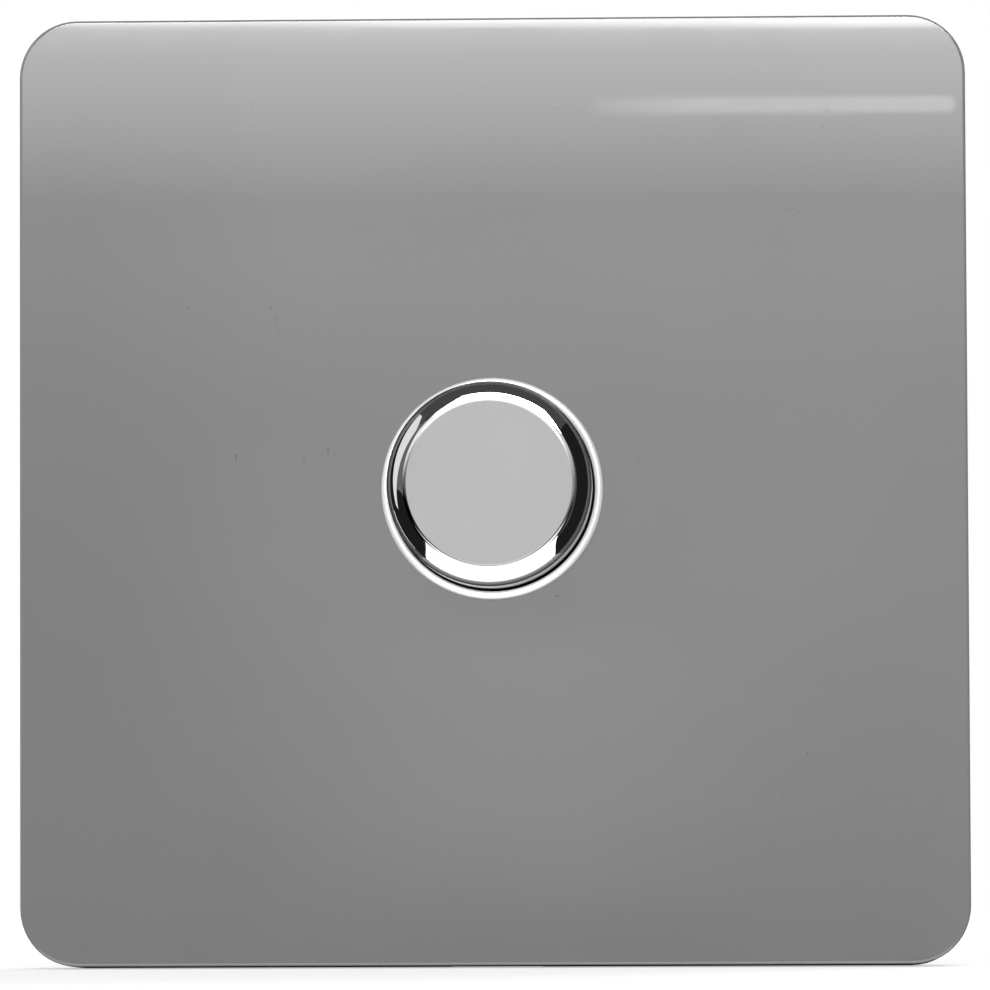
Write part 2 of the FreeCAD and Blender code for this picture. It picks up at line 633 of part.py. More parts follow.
def retaining_clip():
    """Open ring in the spindle's groove that stops it from being pulled out."""
    bore = SHAFT_GROOVE_R + RUNNING_CLEARANCE
    mouth = block(CLIP_R, CLIP_MOUTH, CLIP_REAR, BUSH_REAR, -CLIP_R / 2)
    return tube(CLIP_R, bore, CLIP_REAR, BUSH_REAR).cut(mouth)


def pot_can():
    """Pressed steel cup round the rotor, standing on the track board, with a stop tab inside."""
    cup = turned([(CAN_HOLE_R, CAN_WALL_REAR), (CAN_HOLE_R, BUSH_REAR), (CAN_R, BUSH_REAR),
                  (CAN_R, WAFER_FRONT), (CAN_R - CAN_T, WAFER_FRONT), (CAN_R - CAN_T, CAN_WALL_REAR)])
    tab = sector(STOP_LUG_R, STOP_LUG_INNER_R, CAN_WALL_REAR - STOP_TAB_DROP, CAN_WALL_REAR, STOP_ANGLE,
                 STOP_TAB_HALF)
    return cup.fuse(tab).removeSplitter()


def rotor():
    """Moulded wheel keyed to the spindle, with a stop lug that runs under the can."""
    disc = rod(ROTOR_R, ROTOR_REAR, ROTOR_FRONT)
    lug_angle = STOP_ANGLE - STOP_TAB_HALF - STOP_LUG_HALF - STOP_SLACK
    lug = sector(STOP_LUG_R, STOP_LUG_INNER_R, ROTOR_FRONT, CAN_WALL_REAR - ROTOR_END_PLAY, lug_angle,
                 STOP_LUG_HALF)
    key = d_bar(SHAFT_REAR_R + KEY_CLEARANCE, SHAFT_REAR_FLAT + KEY_CLEARANCE, ROTOR_REAR, ROTOR_FRONT)
    return disc.fuse(lug).cut(key).removeSplitter()


def wiper():
    """Spring metal strip on the rotor with two fingers that run on the track."""
    length = WIPER_OUTER_R - WIPER_INNER_R
    strip = block(WIPER_WIDTH, length, ROTOR_REAR - WIPER_T, ROTOR_REAR, 0, WIPER_INNER_R + length / 2)
    fingers = []
    tip = WAFER_FRONT + FINGER_CLEARANCE
    for radius in (WIPER_INNER_R + FINGER_WIDTH, WIPER_OUTER_R - FINGER_WIDTH):
        fingers.append(block(FINGER_WIDTH, FINGER_WIDTH, tip, ROTOR_REAR, 0, radius))
    return strip.multiFuse(fingers).removeSplitter()


def track_wafer():
    """Insulating board with the resistance track and a tail for the solder legs."""
    height = CAN_R + TAIL_DROP
    board = block(2 * CAN_R, height, WAFER_REAR, WAFER_FRONT, 0, CAN_R - height / 2)
    return board.cut(rod(WAFER_HOLE_R, WAFER_REAR, WAFER_FRONT))


def pot_terminals():
    """Three solder legs that carry the track's tail and run down through the circuit board."""
    legs = []
    for index in (-1, 0, 1):
        x = index * TERMINAL_LEG_PITCH
        foot = block(LEG_WIDTH, LEG_FOOT, WAFER_REAR - LEG_T, WAFER_REAR, x, LEG_FOOT / 2 - TAIL_DROP)
        leg = block(LEG_WIDTH, LEG_T, LEG_LEVEL, WAFER_REAR, x, LEG_ROW_Y)
        legs.append(foot.fuse(leg).removeSplitter())
    return Part.makeCompound(legs)


def contact_pin_places():
    """Places of the two fixed contacts."""
    return [(side * CONTACT_PIN_PITCH / 2, CONTACT_RISE) for side in (-1, 1)]


def switch_case():
    """Square housing of the push switch, standing on the board behind the track."""
    shell = block(SWITCH_SIZE, SWITCH_SIZE, BOARD_FRONT, WAFER_REAR)
    cavity = block(SWITCH_CAVITY, SWITCH_CAVITY, SWITCH_BASE, WAFER_REAR)
    width = CONTACT_PIN_WIDTH + 2 * LEG_HOLE_MARGIN
    pin_holes = [block(width, width, BOARD_FRONT, SWITCH_BASE, x, y) for x, y in contact_pin_places()]
    return shell.cut([cavity] + pin_holes)


def switch_plunger():
    """Square slider with a spring stem and a latching cam track in its lower side."""
    half = PLUNGER_HEAD / 2
    head = block(PLUNGER_HEAD, PLUNGER_HEAD, PLUNGER_REAR, PLUNGER_FRONT)
    stem = rod(PLUNGER_STEM_R, SWITCH_BASE + PUSH_TRAVEL + STEM_END_ROOM, PLUNGER_REAR)
    track_y = CAM_TRACK_DEPTH / 2 - half
    straight = block(CAM_TRACK_WIDTH, CAM_TRACK_DEPTH, PLUNGER_REAR, PLUNGER_FRONT, 0, track_y)
    loop_middle = (PLUNGER_REAR + PLUNGER_FRONT) / 2
    loop = block(CAM_LOOP_REACH, CAM_TRACK_DEPTH, loop_middle - CAM_LOOP_HEIGHT / 2,
                 loop_middle + CAM_LOOP_HEIGHT / 2, CAM_LOOP_REACH / 2, track_y)
    island_x = (CAM_TRACK_WIDTH / 2 + CAM_LOOP_REACH) / 2
    size = CAM_ISLAND_SIZE
    heart = [V(island_x - size, -half, loop_middle), V(island_x, -half, loop_middle - size / 2),
             V(island_x + size, -half, loop_middle), V(island_x, -half, loop_middle + size)]
    island = Part.Face(Part.makePolygon(heart + heart[:1])).extrude(V(0, CAM_TRACK_DEPTH, 0))
    return head.fuse(stem).cut([straight, loop]).fuse(island).removeSplitter()


def latch_pin():
    """Bent wire that follows the cam track and holds the plunger down."""
    y = (CAM_TRACK_DEPTH - PLUNGER_HEAD) / 2
    wire = rod(LATCH_PIN_R, SWITCH_BASE, (PLUNGER_REAR + PLUNGER_FRONT) / 2, 0, y)
    foot = block(LATCH_FOOT, 2 * LATCH_PIN_R, SWITCH_BASE, SWITCH_BASE + 2 * LATCH_PIN_R, LATCH_FOOT / 2, y)
    return wire.fuse(foot).removeSplitter()


def return_spring():
    """Coil spring round the plunger's stem, of flat-sided wire bent in short straight runs."""
    low = SWITCH_BASE + SPRING_SEAT_GAP + SPRING_WIRE / 2
    high = PLUNGER_REAR - SPRING_SEAT_GAP - SPRING_WIRE / 2
    count = SPRING_TURNS * SPRING_STEPS
    points = []
    for step in range(count + 1):
        angle = 2 * math.pi * step / SPRING_STEPS
        rise = (high - low) * step / count
        points.append(V(SPRING_R * math.cos(angle), SPRING_R * math.sin(angle), low + rise))
    half = SPRING_WIRE / 2
    ring = ((-1, -1), (1, -1), (1, 1), (-1, 1))
    corners = [V(SPRING_R + side * half, 0, low + way * half) for side, way in ring]
    section = Part.makePolygon(corners + corners[:1])
    return Part.makePolygon(points).makePipeShell([section], True, False, 1)


def moving_contact():
    """Bridge under the plunger that joins the two fixed contacts when the knob is pushed."""
    return block(CONTACT_LENGTH, CONTACT_WIDTH, BRIDGE_REAR, PLUNGER_REAR, 0, CONTACT_RISE)


def fixed_contacts():
    """Two pins that rise from the board into the switch."""
    top = BRIDGE_REAR - PUSH_TRAVEL - CONTACT_GAP
    return Part.makeCompound([block(CONTACT_PIN_WIDTH, CONTACT_PIN_WIDTH, LEG_LEVEL, top, x, y)
                              for x, y in contact_pin_places()])


def transistor_leg_places():
    """Places of the six transistor legs on the board."""
    return [(side * TRANSISTOR_X + index * TRANSISTOR_LEG_PITCH, TRANSISTOR_LEG_Y)
            for side in (-1, 1) for index in (-1, 0, 1)]


def circuit_board():
    """Board on the case's stand-offs, notched round the posts and drilled for the legs."""
    width = 2 * (INNER_HALF - BOARD_CLEARANCE)
    middle = (BOARD_TOP + BOARD_BOTTOM) / 2
    board = block(width, BOARD_TOP - BOARD_BOTTOM, BOARD_REAR, BOARD_FRONT, 0, middle)
    cuts = [rod(POST_R + BOARD_CLEARANCE, BOARD_REAR, BOARD_FRONT, x, y) for x, y in post_places()]
    legs = [(index * TERMINAL_LEG_PITCH, LEG_ROW_Y, LEG_WIDTH) for index in (-1, 0, 1)]
    legs += [(x, y, CONTACT_PIN_WIDTH) for x, y in contact_pin_places()]
    legs += [(x, y, TRANSISTOR_LEG_WIDTH) for x, y in transistor_leg_places()]
    for x, y, leg in legs:
        hole = leg + 2 * LEG_HOLE_MARGIN
        cuts.append(block(hole, hole, BOARD_REAR, BOARD_FRONT, x, y))
    return board.cut(cuts)


def wire_terminals():
    """Three brass tunnels, each with a wire bore, a tapped hole and a tab soldered to the board."""
    front = CASE_INSIDE + TERMINAL_DEPTH
    tunnels = []
    for x in terminal_columns():
        body = block(TERMINAL_WIDTH, TERMINAL_LENGTH, CASE_INSIDE, front, x, TERMINAL_Y)
        tab_length = TERMINAL_TAB_LENGTH + BOARD_CLEARANCE
        tab = block(TERMINAL_TAB_WIDTH, tab_length, BOARD_FRONT, BOARD_FRONT + TERMINAL_TAB_T, x,
                    TERMINAL_TOP + tab_length / 2)
        bore = upright_rod(TERMINAL_BORE_R, INNER_BOTTOM, TERMINAL_TOP, x, TERMINAL_BORE_Z)
        tapped = rod(TERMINAL_SCREW_R + SCREW_CLEARANCE, CASE_INSIDE, TERMINAL_BORE_Z, x, TERMINAL_Y)
        tunnels.append(body.fuse(tab).cut([bore, tapped]).removeSplitter())
    return Part.makeCompound(tunnels)


def terminal_screws():
    """Slotted clamp screws, backed out so that a wire can go in."""
    head_front = CASE_INSIDE - TERMINAL_SCREW_LIFT
    head_rear = head_front - TERMINAL_SCREW_HEAD_T
    tip = TERMINAL_BORE_Z - TERMINAL_BORE_R - TERMINAL_SCREW_TIP_GAP
    screws = []
    for x in terminal_columns():
        head = rod(TERMINAL_SCREW_HEAD_R, head_rear, head_front, x, TERMINAL_Y)
        shank = rod(TERMINAL_SCREW_R, head_front, tip, x, TERMINAL_Y)
        driver_slot = block(2 * TERMINAL_SCREW_HEAD_R, TERMINAL_SCREW_SLOT, head_rear,
                            head_rear + TERMINAL_SCREW_HEAD_T / 2, x, TERMINAL_Y)
        screws.append(head.fuse(shank).cut(driver_slot))
    return Part.makeCompound(screws)


def power_transistors():
    """Two tabbed transistors bonded to the heatsink, legs bent back to the board."""
    pair = []
    for side in (-1, 1):
        x = side * TRANSISTOR_X
        body_y = TRANSISTOR_BOTTOM + TRANSISTOR_BODY / 2
        body = block(TRANSISTOR_WIDTH, TRANSISTOR_BODY, TAB_FRONT - TRANSISTOR_BODY_T, TAB_FRONT, x, body_y)
        tab = block(TRANSISTOR_WIDTH, TRANSISTOR_LENGTH, TAB_REAR, TAB_FRONT, x, 0)
        shapes = [tab]
        width = TRANSISTOR_LEG_WIDTH
        bend = TAB_FRONT - TRANSISTOR_LEG_LEVEL
        for index in (-1, 0, 1):
            leg_x = x + index * TRANSISTOR_LEG_PITCH
            run = TRANSISTOR_LEG_REACH + width / 2
            run_y = TRANSISTOR_BOTTOM - run / 2
            shapes.append(block(width, run, bend - width / 2, bend + width / 2, leg_x, run_y))
            shapes.append(block(width, width, LEG_LEVEL, bend + width / 2, leg_x, TRANSISTOR_LEG_Y))
        pair.append(body.multiFuse(shapes).removeSplitter())
    return Part.makeCompound(pair)


def thermal_pads():
    """Thin adhesive pads between the transistors and the heatsink."""
    return Part.makeCompound([block(TRANSISTOR_WIDTH, TRANSISTOR_LENGTH, TAB_FRONT, HEATSINK_REAR,
                                    side * TRANSISTOR_X) for side in (-1, 1)])


def choke_core():
    """Ferrite core of the interference choke: two windows round a middle limb."""
    low = BOARD_FRONT + CHOKE_COIL_BULGE
    high = low + CHOKE_T
    core = block(CHOKE_WIDTH, CHOKE_HEIGHT, low, high)
    window = (CHOKE_WIDTH - CHOKE_LIMB) / 2 - CHOKE_YOKE
    windows = [block(window, CHOKE_HEIGHT - 2 * CHOKE_YOKE, low, high, side * (CHOKE_LIMB + window) / 2)
               for side in (-1, 1)]
    return core.cut(windows).translated(V(CHOKE_SIDE_ROOM - POST_X, POST_TOP - CHOKE_TOP_ROOM, 0))


def choke_winding():
    """Copper coil round the core's middle limb, standing on the board."""
    width = CHOKE_WIDTH - 2 * CHOKE_YOKE - 2 * CHOKE_COIL_GAP
    height = CHOKE_HEIGHT - 2 * CHOKE_YOKE - 2 * CHOKE_COIL_GAP
    low = BOARD_FRONT
    high = low + CHOKE_T + 2 * CHOKE_COIL_BULGE
    tunnel = block(CHOKE_LIMB + 2 * CHOKE_COIL_GAP, height, low + CHOKE_COIL_BULGE - CHOKE_COIL_GAP,
                   high - CHOKE_COIL_BULGE + CHOKE_COIL_GAP)
    coil = block(width, height, low, high).cut(tunnel)
    return coil.translated(V(CHOKE_SIDE_ROOM - POST_X, POST_TOP - CHOKE_TOP_ROOM, 0))


def film_capacitor():
    """Box-shaped film capacitor at the top of the board."""
    x = POST_X - POST_R - WALL_ROOM - FILM_CAP_WIDTH / 2
    y = INNER_TOP - WALL_ROOM - FILM_CAP_T / 2
    return block(FILM_CAP_WIDTH, FILM_CAP_T, BOARD_FRONT, BOARD_FRONT + FILM_CAP_RISE, x, y)


def smoothing_capacitor():
    """Electrolytic can standing on the board."""
    return rod(SMOOTHING_CAP_R, BOARD_FRONT, BOARD_FRONT + SMOOTHING_CAP_RISE, INNER_HALF - SIDE_COLUMN,
               SMOOTHING_CAP_Y)


def rectifier():
    """Bridge rectifier block."""
    return block(RECTIFIER_SIZE, RECTIFIER_SIZE, BOARD_FRONT, BOARD_FRONT + RECTIFIER_RISE,
                 INNER_HALF - SIDE_COLUMN, RECTIFIER_Y)


def controller_chip():
    """Control chip near the terminals."""
    return block(CHIP_WIDTH, CHIP_HEIGHT, BOARD_FRONT, BOARD_FRONT + CHIP_RISE,
                 INNER_HALF - SIDE_COLUMN, BOARD_BOTTOM + CHIP_HEIGHT / 2 + BOARD_CLEARANCE / 2)


def varistor():
    """Surge-absorbing disc that stands on two wires."""
    x = VARISTOR_COLUMN - INNER_HALF
    centre = BOARD_FRONT + VARISTOR_LEG + VARISTOR_R
    disc = level_rod(VARISTOR_R, x - VARISTOR_T / 2, x + VARISTOR_T / 2, FUSE_Y, centre)
    legs = []
    for side in (-1, 1):
        leg_y = FUSE_Y + side * VARISTOR_LEG_PITCH / 2
        legs.append(block(COMPONENT_LEG, COMPONENT_LEG, BOARD_FRONT, centre, x, leg_y))
    return disc.multiFuse(legs).removeSplitter()


def fuse_link():
    """Block-shaped fuse on two legs beside the left wall."""
    x = FUSE_COLUMN - INNER_HALF
    low = BOARD_FRONT + FUSE_LEG
    body = block(FUSE_WIDTH, FUSE_LENGTH, low, low + FUSE_RISE, x, FUSE_Y)
    legs = [block(COMPONENT_LEG, COMPONENT_LEG, BOARD_FRONT, low, x, FUSE_Y + side * FUSE_LENGTH / 4)
            for side in (-1, 1)]
    return body.multiFuse(legs)


def resistors():
    """Chip resistors in a row at the top of the board."""
    top = INNER_TOP - WALL_ROOM - RESISTOR_HEIGHT / 2
    front = BOARD_FRONT + RESISTOR_RISE
    rows = [top - index * RESISTOR_PITCH for index in range(RESISTOR_COUNT)]
    return Part.makeCompound([block(RESISTOR_WIDTH, RESISTOR_HEIGHT, BOARD_FRONT, front, RESISTOR_X, y)
                              for y in rows])


def stand_on_wall(shape):
    """Turn a piece from the bench frame to its place on the wall."""
    return shape.rotated(ORIGIN, TO_RIGHT, QUARTER_TURN)


PIECES = (
    front_plate, mounting_frame, lock_washer, bush_nut, threaded_bush, heatsink_plate, module_case,
    case_screws, knob, knob_grip_spring, pot_shaft, retaining_clip, pot_can, rotor, wiper, track_wafer,
    pot_terminals, switch_case, switch_plunger, latch_pin, return_spring, moving_contact, fixed_contacts,
    circuit_board, wire_terminals, terminal_screws, power_transistors, thermal_pads, choke_core,
    choke_winding, film_capacitor, smoothing_capacitor, rectifier, controller_chip, varistor, fuse_link,
    resistors,
)

os.makedirs("parts", exist_ok=True)
for make in PIECES:
    stand_on_wall(make()).exportStep("parts/" + make.__name__ + ".step")
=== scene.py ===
"""Looks of a one-gang rotary dimmer switch.

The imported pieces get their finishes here. A few pieces that a lathe or a coiling machine makes are modelled
again with finer surfaces, and a small studio with soft cards lights the plate and its polished knob.
"""

import logging
import math
from dataclasses import dataclass, field
from enum import Enum
from functools import cache, partial, reduce
from typing import NamedTuple

import bmesh
import bpy
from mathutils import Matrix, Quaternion, Vector


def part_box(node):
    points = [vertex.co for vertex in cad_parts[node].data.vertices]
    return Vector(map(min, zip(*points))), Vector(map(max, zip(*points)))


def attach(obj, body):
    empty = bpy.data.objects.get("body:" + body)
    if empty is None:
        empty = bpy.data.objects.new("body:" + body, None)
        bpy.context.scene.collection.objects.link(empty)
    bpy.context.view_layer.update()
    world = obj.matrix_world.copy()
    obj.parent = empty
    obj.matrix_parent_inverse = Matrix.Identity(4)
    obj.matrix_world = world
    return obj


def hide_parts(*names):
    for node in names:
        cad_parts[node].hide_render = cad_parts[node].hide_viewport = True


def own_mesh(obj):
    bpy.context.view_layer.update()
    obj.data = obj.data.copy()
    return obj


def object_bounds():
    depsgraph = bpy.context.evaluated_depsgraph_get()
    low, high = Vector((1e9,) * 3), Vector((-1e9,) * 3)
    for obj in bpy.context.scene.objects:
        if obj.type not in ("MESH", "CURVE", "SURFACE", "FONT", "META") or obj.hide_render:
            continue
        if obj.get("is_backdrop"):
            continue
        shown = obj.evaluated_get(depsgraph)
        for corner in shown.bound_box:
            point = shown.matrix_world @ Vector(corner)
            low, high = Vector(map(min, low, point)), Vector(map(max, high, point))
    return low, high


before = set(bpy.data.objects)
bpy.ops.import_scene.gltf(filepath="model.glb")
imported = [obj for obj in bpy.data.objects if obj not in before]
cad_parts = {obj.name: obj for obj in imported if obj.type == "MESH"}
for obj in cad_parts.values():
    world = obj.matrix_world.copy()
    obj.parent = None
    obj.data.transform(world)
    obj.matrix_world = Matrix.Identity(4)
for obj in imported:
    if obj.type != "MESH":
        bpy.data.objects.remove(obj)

MM = 0.001
PHOTO_SIDE = 990
FULL_TURN = 2 * math.pi
SHARP_ANGLE = math.radians(28)
WELD = 1e-7
NOISE_MIDDLE = (0.3, 0.7)
CLOUD_MIDDLE = (0.32, 0.68)
WHITE = (1.0, 1.0, 1.0, 1.0)
BLACK = (0.0, 0.0, 0.0, 1.0)
ZINC = (0.66, 0.67, 0.68)
STEEL = (0.5, 0.5, 0.51)

Color = tuple[float, float, float]
Place = tuple[float, float, float]
Pixel = tuple[float, float]
Material = bpy.types.Material
Mesh = bmesh.types.BMesh
Thing = bpy.types.Object
Tree = bpy.types.NodeTree
Socket = bpy.types.NodeSocket
Sockets = bpy.types.bpy_prop_collection
Value = float | Socket

log = logging.getLogger("dimmer")


class Body(Enum):
    """The bodies that new pieces move with."""

    BASE = "base"
    SPINDLE = "spindle"


class Grain(Enum):
    """Which way the drawing or brushing lines of a metal run."""

    ALONG_X = (0.04, 1.0, 1.0)
    ALONG_Y = (1.0, 0.04, 1.0)
    ALONG_Z = (1.0, 1.0, 0.04)


class Graph:
    """A node tree with short ways to add nodes and join them."""

    def __init__(self, tree: Tree) -> None:
        """Keep the tree that the nodes go into."""
        self.tree = tree

    def feed(self, socket: Socket, value: object) -> None:
        """Give a socket a constant, or link another socket to it.

        Args:
            socket: The input to set.
            value: A constant, or the output to link.
        """
        if isinstance(value, Socket):
            self.tree.links.new(value, socket)
        else:
            socket.default_value = value

    def add(self, kind: str, inputs: dict | None = None, **settings: object) -> bpy.types.Node:
        """Add a node.

        Args:
            kind: The shader node's type name.
            inputs: Input names or numbers with their constants or sockets.
            settings: Properties of the node itself.

        Returns:
            The new node.
        """
        node = self.tree.nodes.new("ShaderNode" + kind)
        for name, value in settings.items():
            setattr(node, name, value)
        for key, value in (inputs or {}).items():
            self.feed(node.inputs[key], value)
        return node

    def math(self, operation: str, first: Value, second: Value = 0.0) -> Socket:
        """Work out a number from one or two others."""
        return self.add("Math", {0: first, 1: second}, operation=operation).outputs[0]

    def total(self, *values: Value) -> Socket:
        """Add two or more numbers up."""
        return reduce(partial(self.math, "ADD"), values)

    def product(self, *values: Value) -> Socket:
        """Multiply two or more numbers."""
        return reduce(partial(self.math, "MULTIPLY"), values)

    def ramp(self, value: Value, low: float, high: float, start: Value = 0.0,
             end: Value = 1.0, smooth: bool = True) -> Socket:
        """Map a number from one range onto another, held at both ends.

        Args:
            value: The number to map.
            low: Where the first range begins.
            high: Where the first range ends.
            start: The result at low.
            end: The result at high.
            smooth: Whether the way between eases in and out.

        Returns:
            The mapped number's socket.
        """
        kind = "SMOOTHSTEP" if smooth else "LINEAR"
        inputs = {"Value": value, "From Min": low, "From Max": high, "To Min": start, "To Max": end}
        return self.add("MapRange", inputs, interpolation_type=kind).outputs["Result"]

    def fades(self, way: Socket, *fades: tuple) -> list[Socket]:
        """The numbers that several fades give at a place along one way."""
        return [self.ramp(way, *fade) for fade in fades]

    def blend(self, share: Value, first: object, second: object) -> Socket:
        """Mix two colours; the share is how much of the second one shows."""
        inputs = {"Factor": share, 6: first, 7: second}
        return self.add("Mix", inputs, data_type="RGBA").outputs[2]

    def noise(self, place: Socket, scale: Value, **shape: float) -> Socket:
        """Smooth noise at a place, shaped by the noise node's other inputs."""
        inputs = {"Vector": place, "Scale": scale} | {name.title(): value for name, value in shape.items()}
        return self.add("TexNoise", inputs).outputs[0]

    def cells(self, place: Socket, scale: Value) -> tuple[Sockets, Sockets]:
        """Scattered cells, and the three random shades of each."""
        cells = self.add("TexVoronoi", {"Vector": place, "Scale": scale}).outputs
        return cells, self.add("SeparateColor", {0: cells["Color"]}).outputs

    def vector(self, operation: str, first: object, second: object) -> Sockets:
        """Work out a vector, or a number, from two vectors."""
        return self.add("VectorMath", {0: first, 1: second}, operation=operation).outputs

    def parts(self, place: Socket) -> Sockets:
        """The X, Y and Z of a place."""
        return self.add("SeparateXYZ", {0: place}).outputs

    def from_axis(self, place: Socket) -> Socket:
        """How far a place is from the knob's axis."""
        flat = self.vector("MULTIPLY", place, (1.0, 0.0, 1.0))[0]
        return self.vector("DISTANCE", flat, (0.0, 0.0, 0.0))["Value"]

    def effect(self, tree: Tree, **inputs: object) -> Sockets:
        """Place a shared effect with its own values, and give its outputs."""
        return self.add("Group", inputs, node_tree=tree).outputs


def opaque(color: Color, gain: float = 1.0) -> tuple[float, float, float, float]:
    """A colour times a gain, with full alpha, as a shader takes it."""
    red, green, blue = (min(1.0, part * gain) for part in color)
    return red, green, blue, 1.0


def new_effect(name: str, vectors: str, numbers: str, outputs: str) -> tuple[Graph, Sockets, Sockets]:
    """Start a shared effect; the names of its sockets are words with spaces between them.

    Args:
        name: The node group's name.
        vectors: The vectors that it takes.
        numbers: The numbers that it takes.
        outputs: The numbers that it puts out.

    Returns:
        The group's graph, the sockets that its inputs come from and the sockets that its outputs go to.
    """
    tree = bpy.data.node_groups.new(name, "ShaderNodeTree")
    kinds = ((vectors, "INPUT", "Vector"), (numbers, "INPUT", "Float"), (outputs, "OUTPUT", "Float"))
    for words, way, kind in kinds:
        for word in words.split():
            tree.interface.new_socket(word, in_out=way, socket_type="NodeSocket" + kind)
    return Graph(tree), tree.nodes.new("NodeGroupInput").outputs, tree.nodes.new("NodeGroupOutput").inputs


@cache
def grain_effect() -> Tree:
    """Moulded grain: a fine height and a broad mottle.

    Returns:
        The node group.
    """
    broad_share = 0.03
    graph, source, sink = new_effect("Moulded grain", "Place", "Scale", "Height Mottle")
    fine = graph.noise(source["Place"], source["Scale"], detail=3.0, roughness=0.6)
    broad_scale = graph.product(source["Scale"], broad_share)
    broad = graph.noise(source["Place"], broad_scale, detail=4.0, roughness=0.55)
    graph.feed(sink["Height"], fine)
    graph.feed(sink["Mottle"], graph.ramp(broad, *NOISE_MIDDLE))
    return graph.tree


@cache
def streak_effect() -> Tree:
    """Drawing or brushing lines: noise stretched along one way.

    Returns:
        The node group.
    """
    graph, source, sink = new_effect("Drawn streaks", "Place Stretch", "Scale", "Height")
    drawn = graph.vector("MULTIPLY", source["Place"], source["Stretch"])[0]
    graph.feed(sink["Height"], graph.noise(drawn, source["Scale"], detail=5.0, roughness=0.7))
    return graph.tree


@cache
def turning_effect() -> Tree:
    """Tool lines of a lathe: fine rings round the knob's axis, a little uneven.

    Returns:
        The node group.
    """
    wander_scale, wander_turns = 900.0, 1.6
    graph, source, sink = new_effect("Turning lines", "Place", "Pitch", "Height")
    along = graph.total(graph.from_axis(source["Place"]), graph.parts(source["Place"])["Y"])
    wander = graph.product(graph.noise(source["Place"], wander_scale, detail=2.0), wander_turns)
    phase = graph.total(graph.math("DIVIDE", along, source["Pitch"]), wander)
    ring = graph.math("SINE", graph.product(phase, FULL_TURN))
    graph.feed(sink["Height"], graph.ramp(ring, -1.0, 1.0, smooth=False))
    return graph.tree


@cache
def speck_effect() -> Tree:
    """Loose dust: a few round specks, one at most in each cell.

    Returns:
        The node group.
    """
    smallest, largest = 0.04, 0.14
    graph, source, sink = new_effect("Dust specks", "Place", "Scale Share", "Mask")
    cells, shade = graph.cells(source["Place"], source["Scale"])
    chosen = graph.math("LESS_THAN", shade[0], source["Share"])
    size = graph.ramp(shade[1], 0.0, 1.0, smallest, largest, smooth=False)
    near = graph.math("LESS_THAN", cells["Distance"], size)
    graph.feed(sink["Mask"], graph.product(chosen, near))
    return graph.tree


@cache
def smudge_effect() -> Tree:
    """Handling: a number that drifts slowly between two values.

    Returns:
        The node group.
    """
    graph, source, sink = new_effect("Handling smudge", "Place", "Scale Low High", "Value")
    cloud = graph.noise(source["Place"], source["Scale"], detail=4.0, roughness=0.6, distortion=0.4)
    graph.feed(sink["Value"], graph.ramp(cloud, *CLOUD_MIDDLE, source["Low"], source["High"]))
    return graph.tree


@cache
def mark_effect() -> Tree:
    """A hair or a speck: everything close to the straight line between two points.

    Returns:
        The node group.
    """
    shortest, core = 1e-12, 0.4
    graph, source, sink = new_effect("Stray mark", "Place Start End", "Width", "Mask")
    run = graph.vector("SUBTRACT", source["End"], source["Start"])[0]
    away = graph.vector("SUBTRACT", source["Place"], source["Start"])[0]
    shadow = graph.vector("DOT_PRODUCT", away, run)["Value"]
    square = graph.vector("DOT_PRODUCT", run, run)["Value"]
    share = graph.ramp(graph.math("DIVIDE", shadow, graph.total(square, shortest)), 0.0, 1.0, smooth=False)
    foot = graph.add("VectorMath", {0: run, "Scale": share}, operation="SCALE").outputs[0]
    inside = graph.math("DIVIDE", graph.vector("DISTANCE", away, foot)["Value"], source["Width"])
    graph.feed(sink["Mask"], graph.ramp(inside, core, 1.0, 1.0, 0.0))
    return graph.tree


@dataclass
class Finish(Graph):
    """A surface: its colour, its gloss and the fine detail that it shows."""

    name: str
    color: Color
    roughness: float
    metallic: float = 0.0
    ior: float = 1.5
    patch_scale: float = 160.0
    spread: float = 0.06

    def material(self) -> Material:
        """Make the material.

        Returns:
            A new material with this finish's nodes, its roughness drifting about the finish's own.
        """
        material = bpy.data.materials.new(self.name)
        material.use_nodes = True
        self.tree = material.node_tree
        self.shader = self.tree.nodes["Principled BSDF"].inputs
        self.place = self.add("TexCoord").outputs["Object"]
        self.set("Metallic", self.metallic)
        self.set("IOR", self.ior)
        low, high = max(0.0, self.roughness - self.spread), self.roughness + self.spread
        drift = self.effect(smudge_effect(), Scale=self.patch_scale, Low=low, High=high)
        self.set("Roughness", drift["Value"])
        self.paint()
        return material

    def paint(self) -> None:
        """Add the finish's own nodes."""
        raise NotImplementedError

    def effect(self, tree: Tree, **inputs: object) -> Sockets:
        """Use a shared effect at the place on the object."""
        return super().effect(tree, Place=self.place, **inputs)

    def set(self, name: str, value: object) -> None:
        """Feed an input of the shader."""
        self.feed(self.shader[name], value)

    def now(self, name: str) -> Socket:
        """What feeds an input of the shader so far."""
        return self.shader[name].links[0].from_socket

    def roughen(self, mask: Value, amount: float) -> None:
        """Add to the roughness where a mask is set."""
        self.set("Roughness", self.total(self.now("Roughness"), self.product(mask, amount)))

    def bump(self, height: Socket, distance: float, strength: float = 1.0) -> None:
        """Raise the surface by a height, as far as a distance in metres."""
        node = self.add("Bump", {"Strength": strength, "Distance": distance, "Height": height})
        self.set("Normal", node.outputs[0])


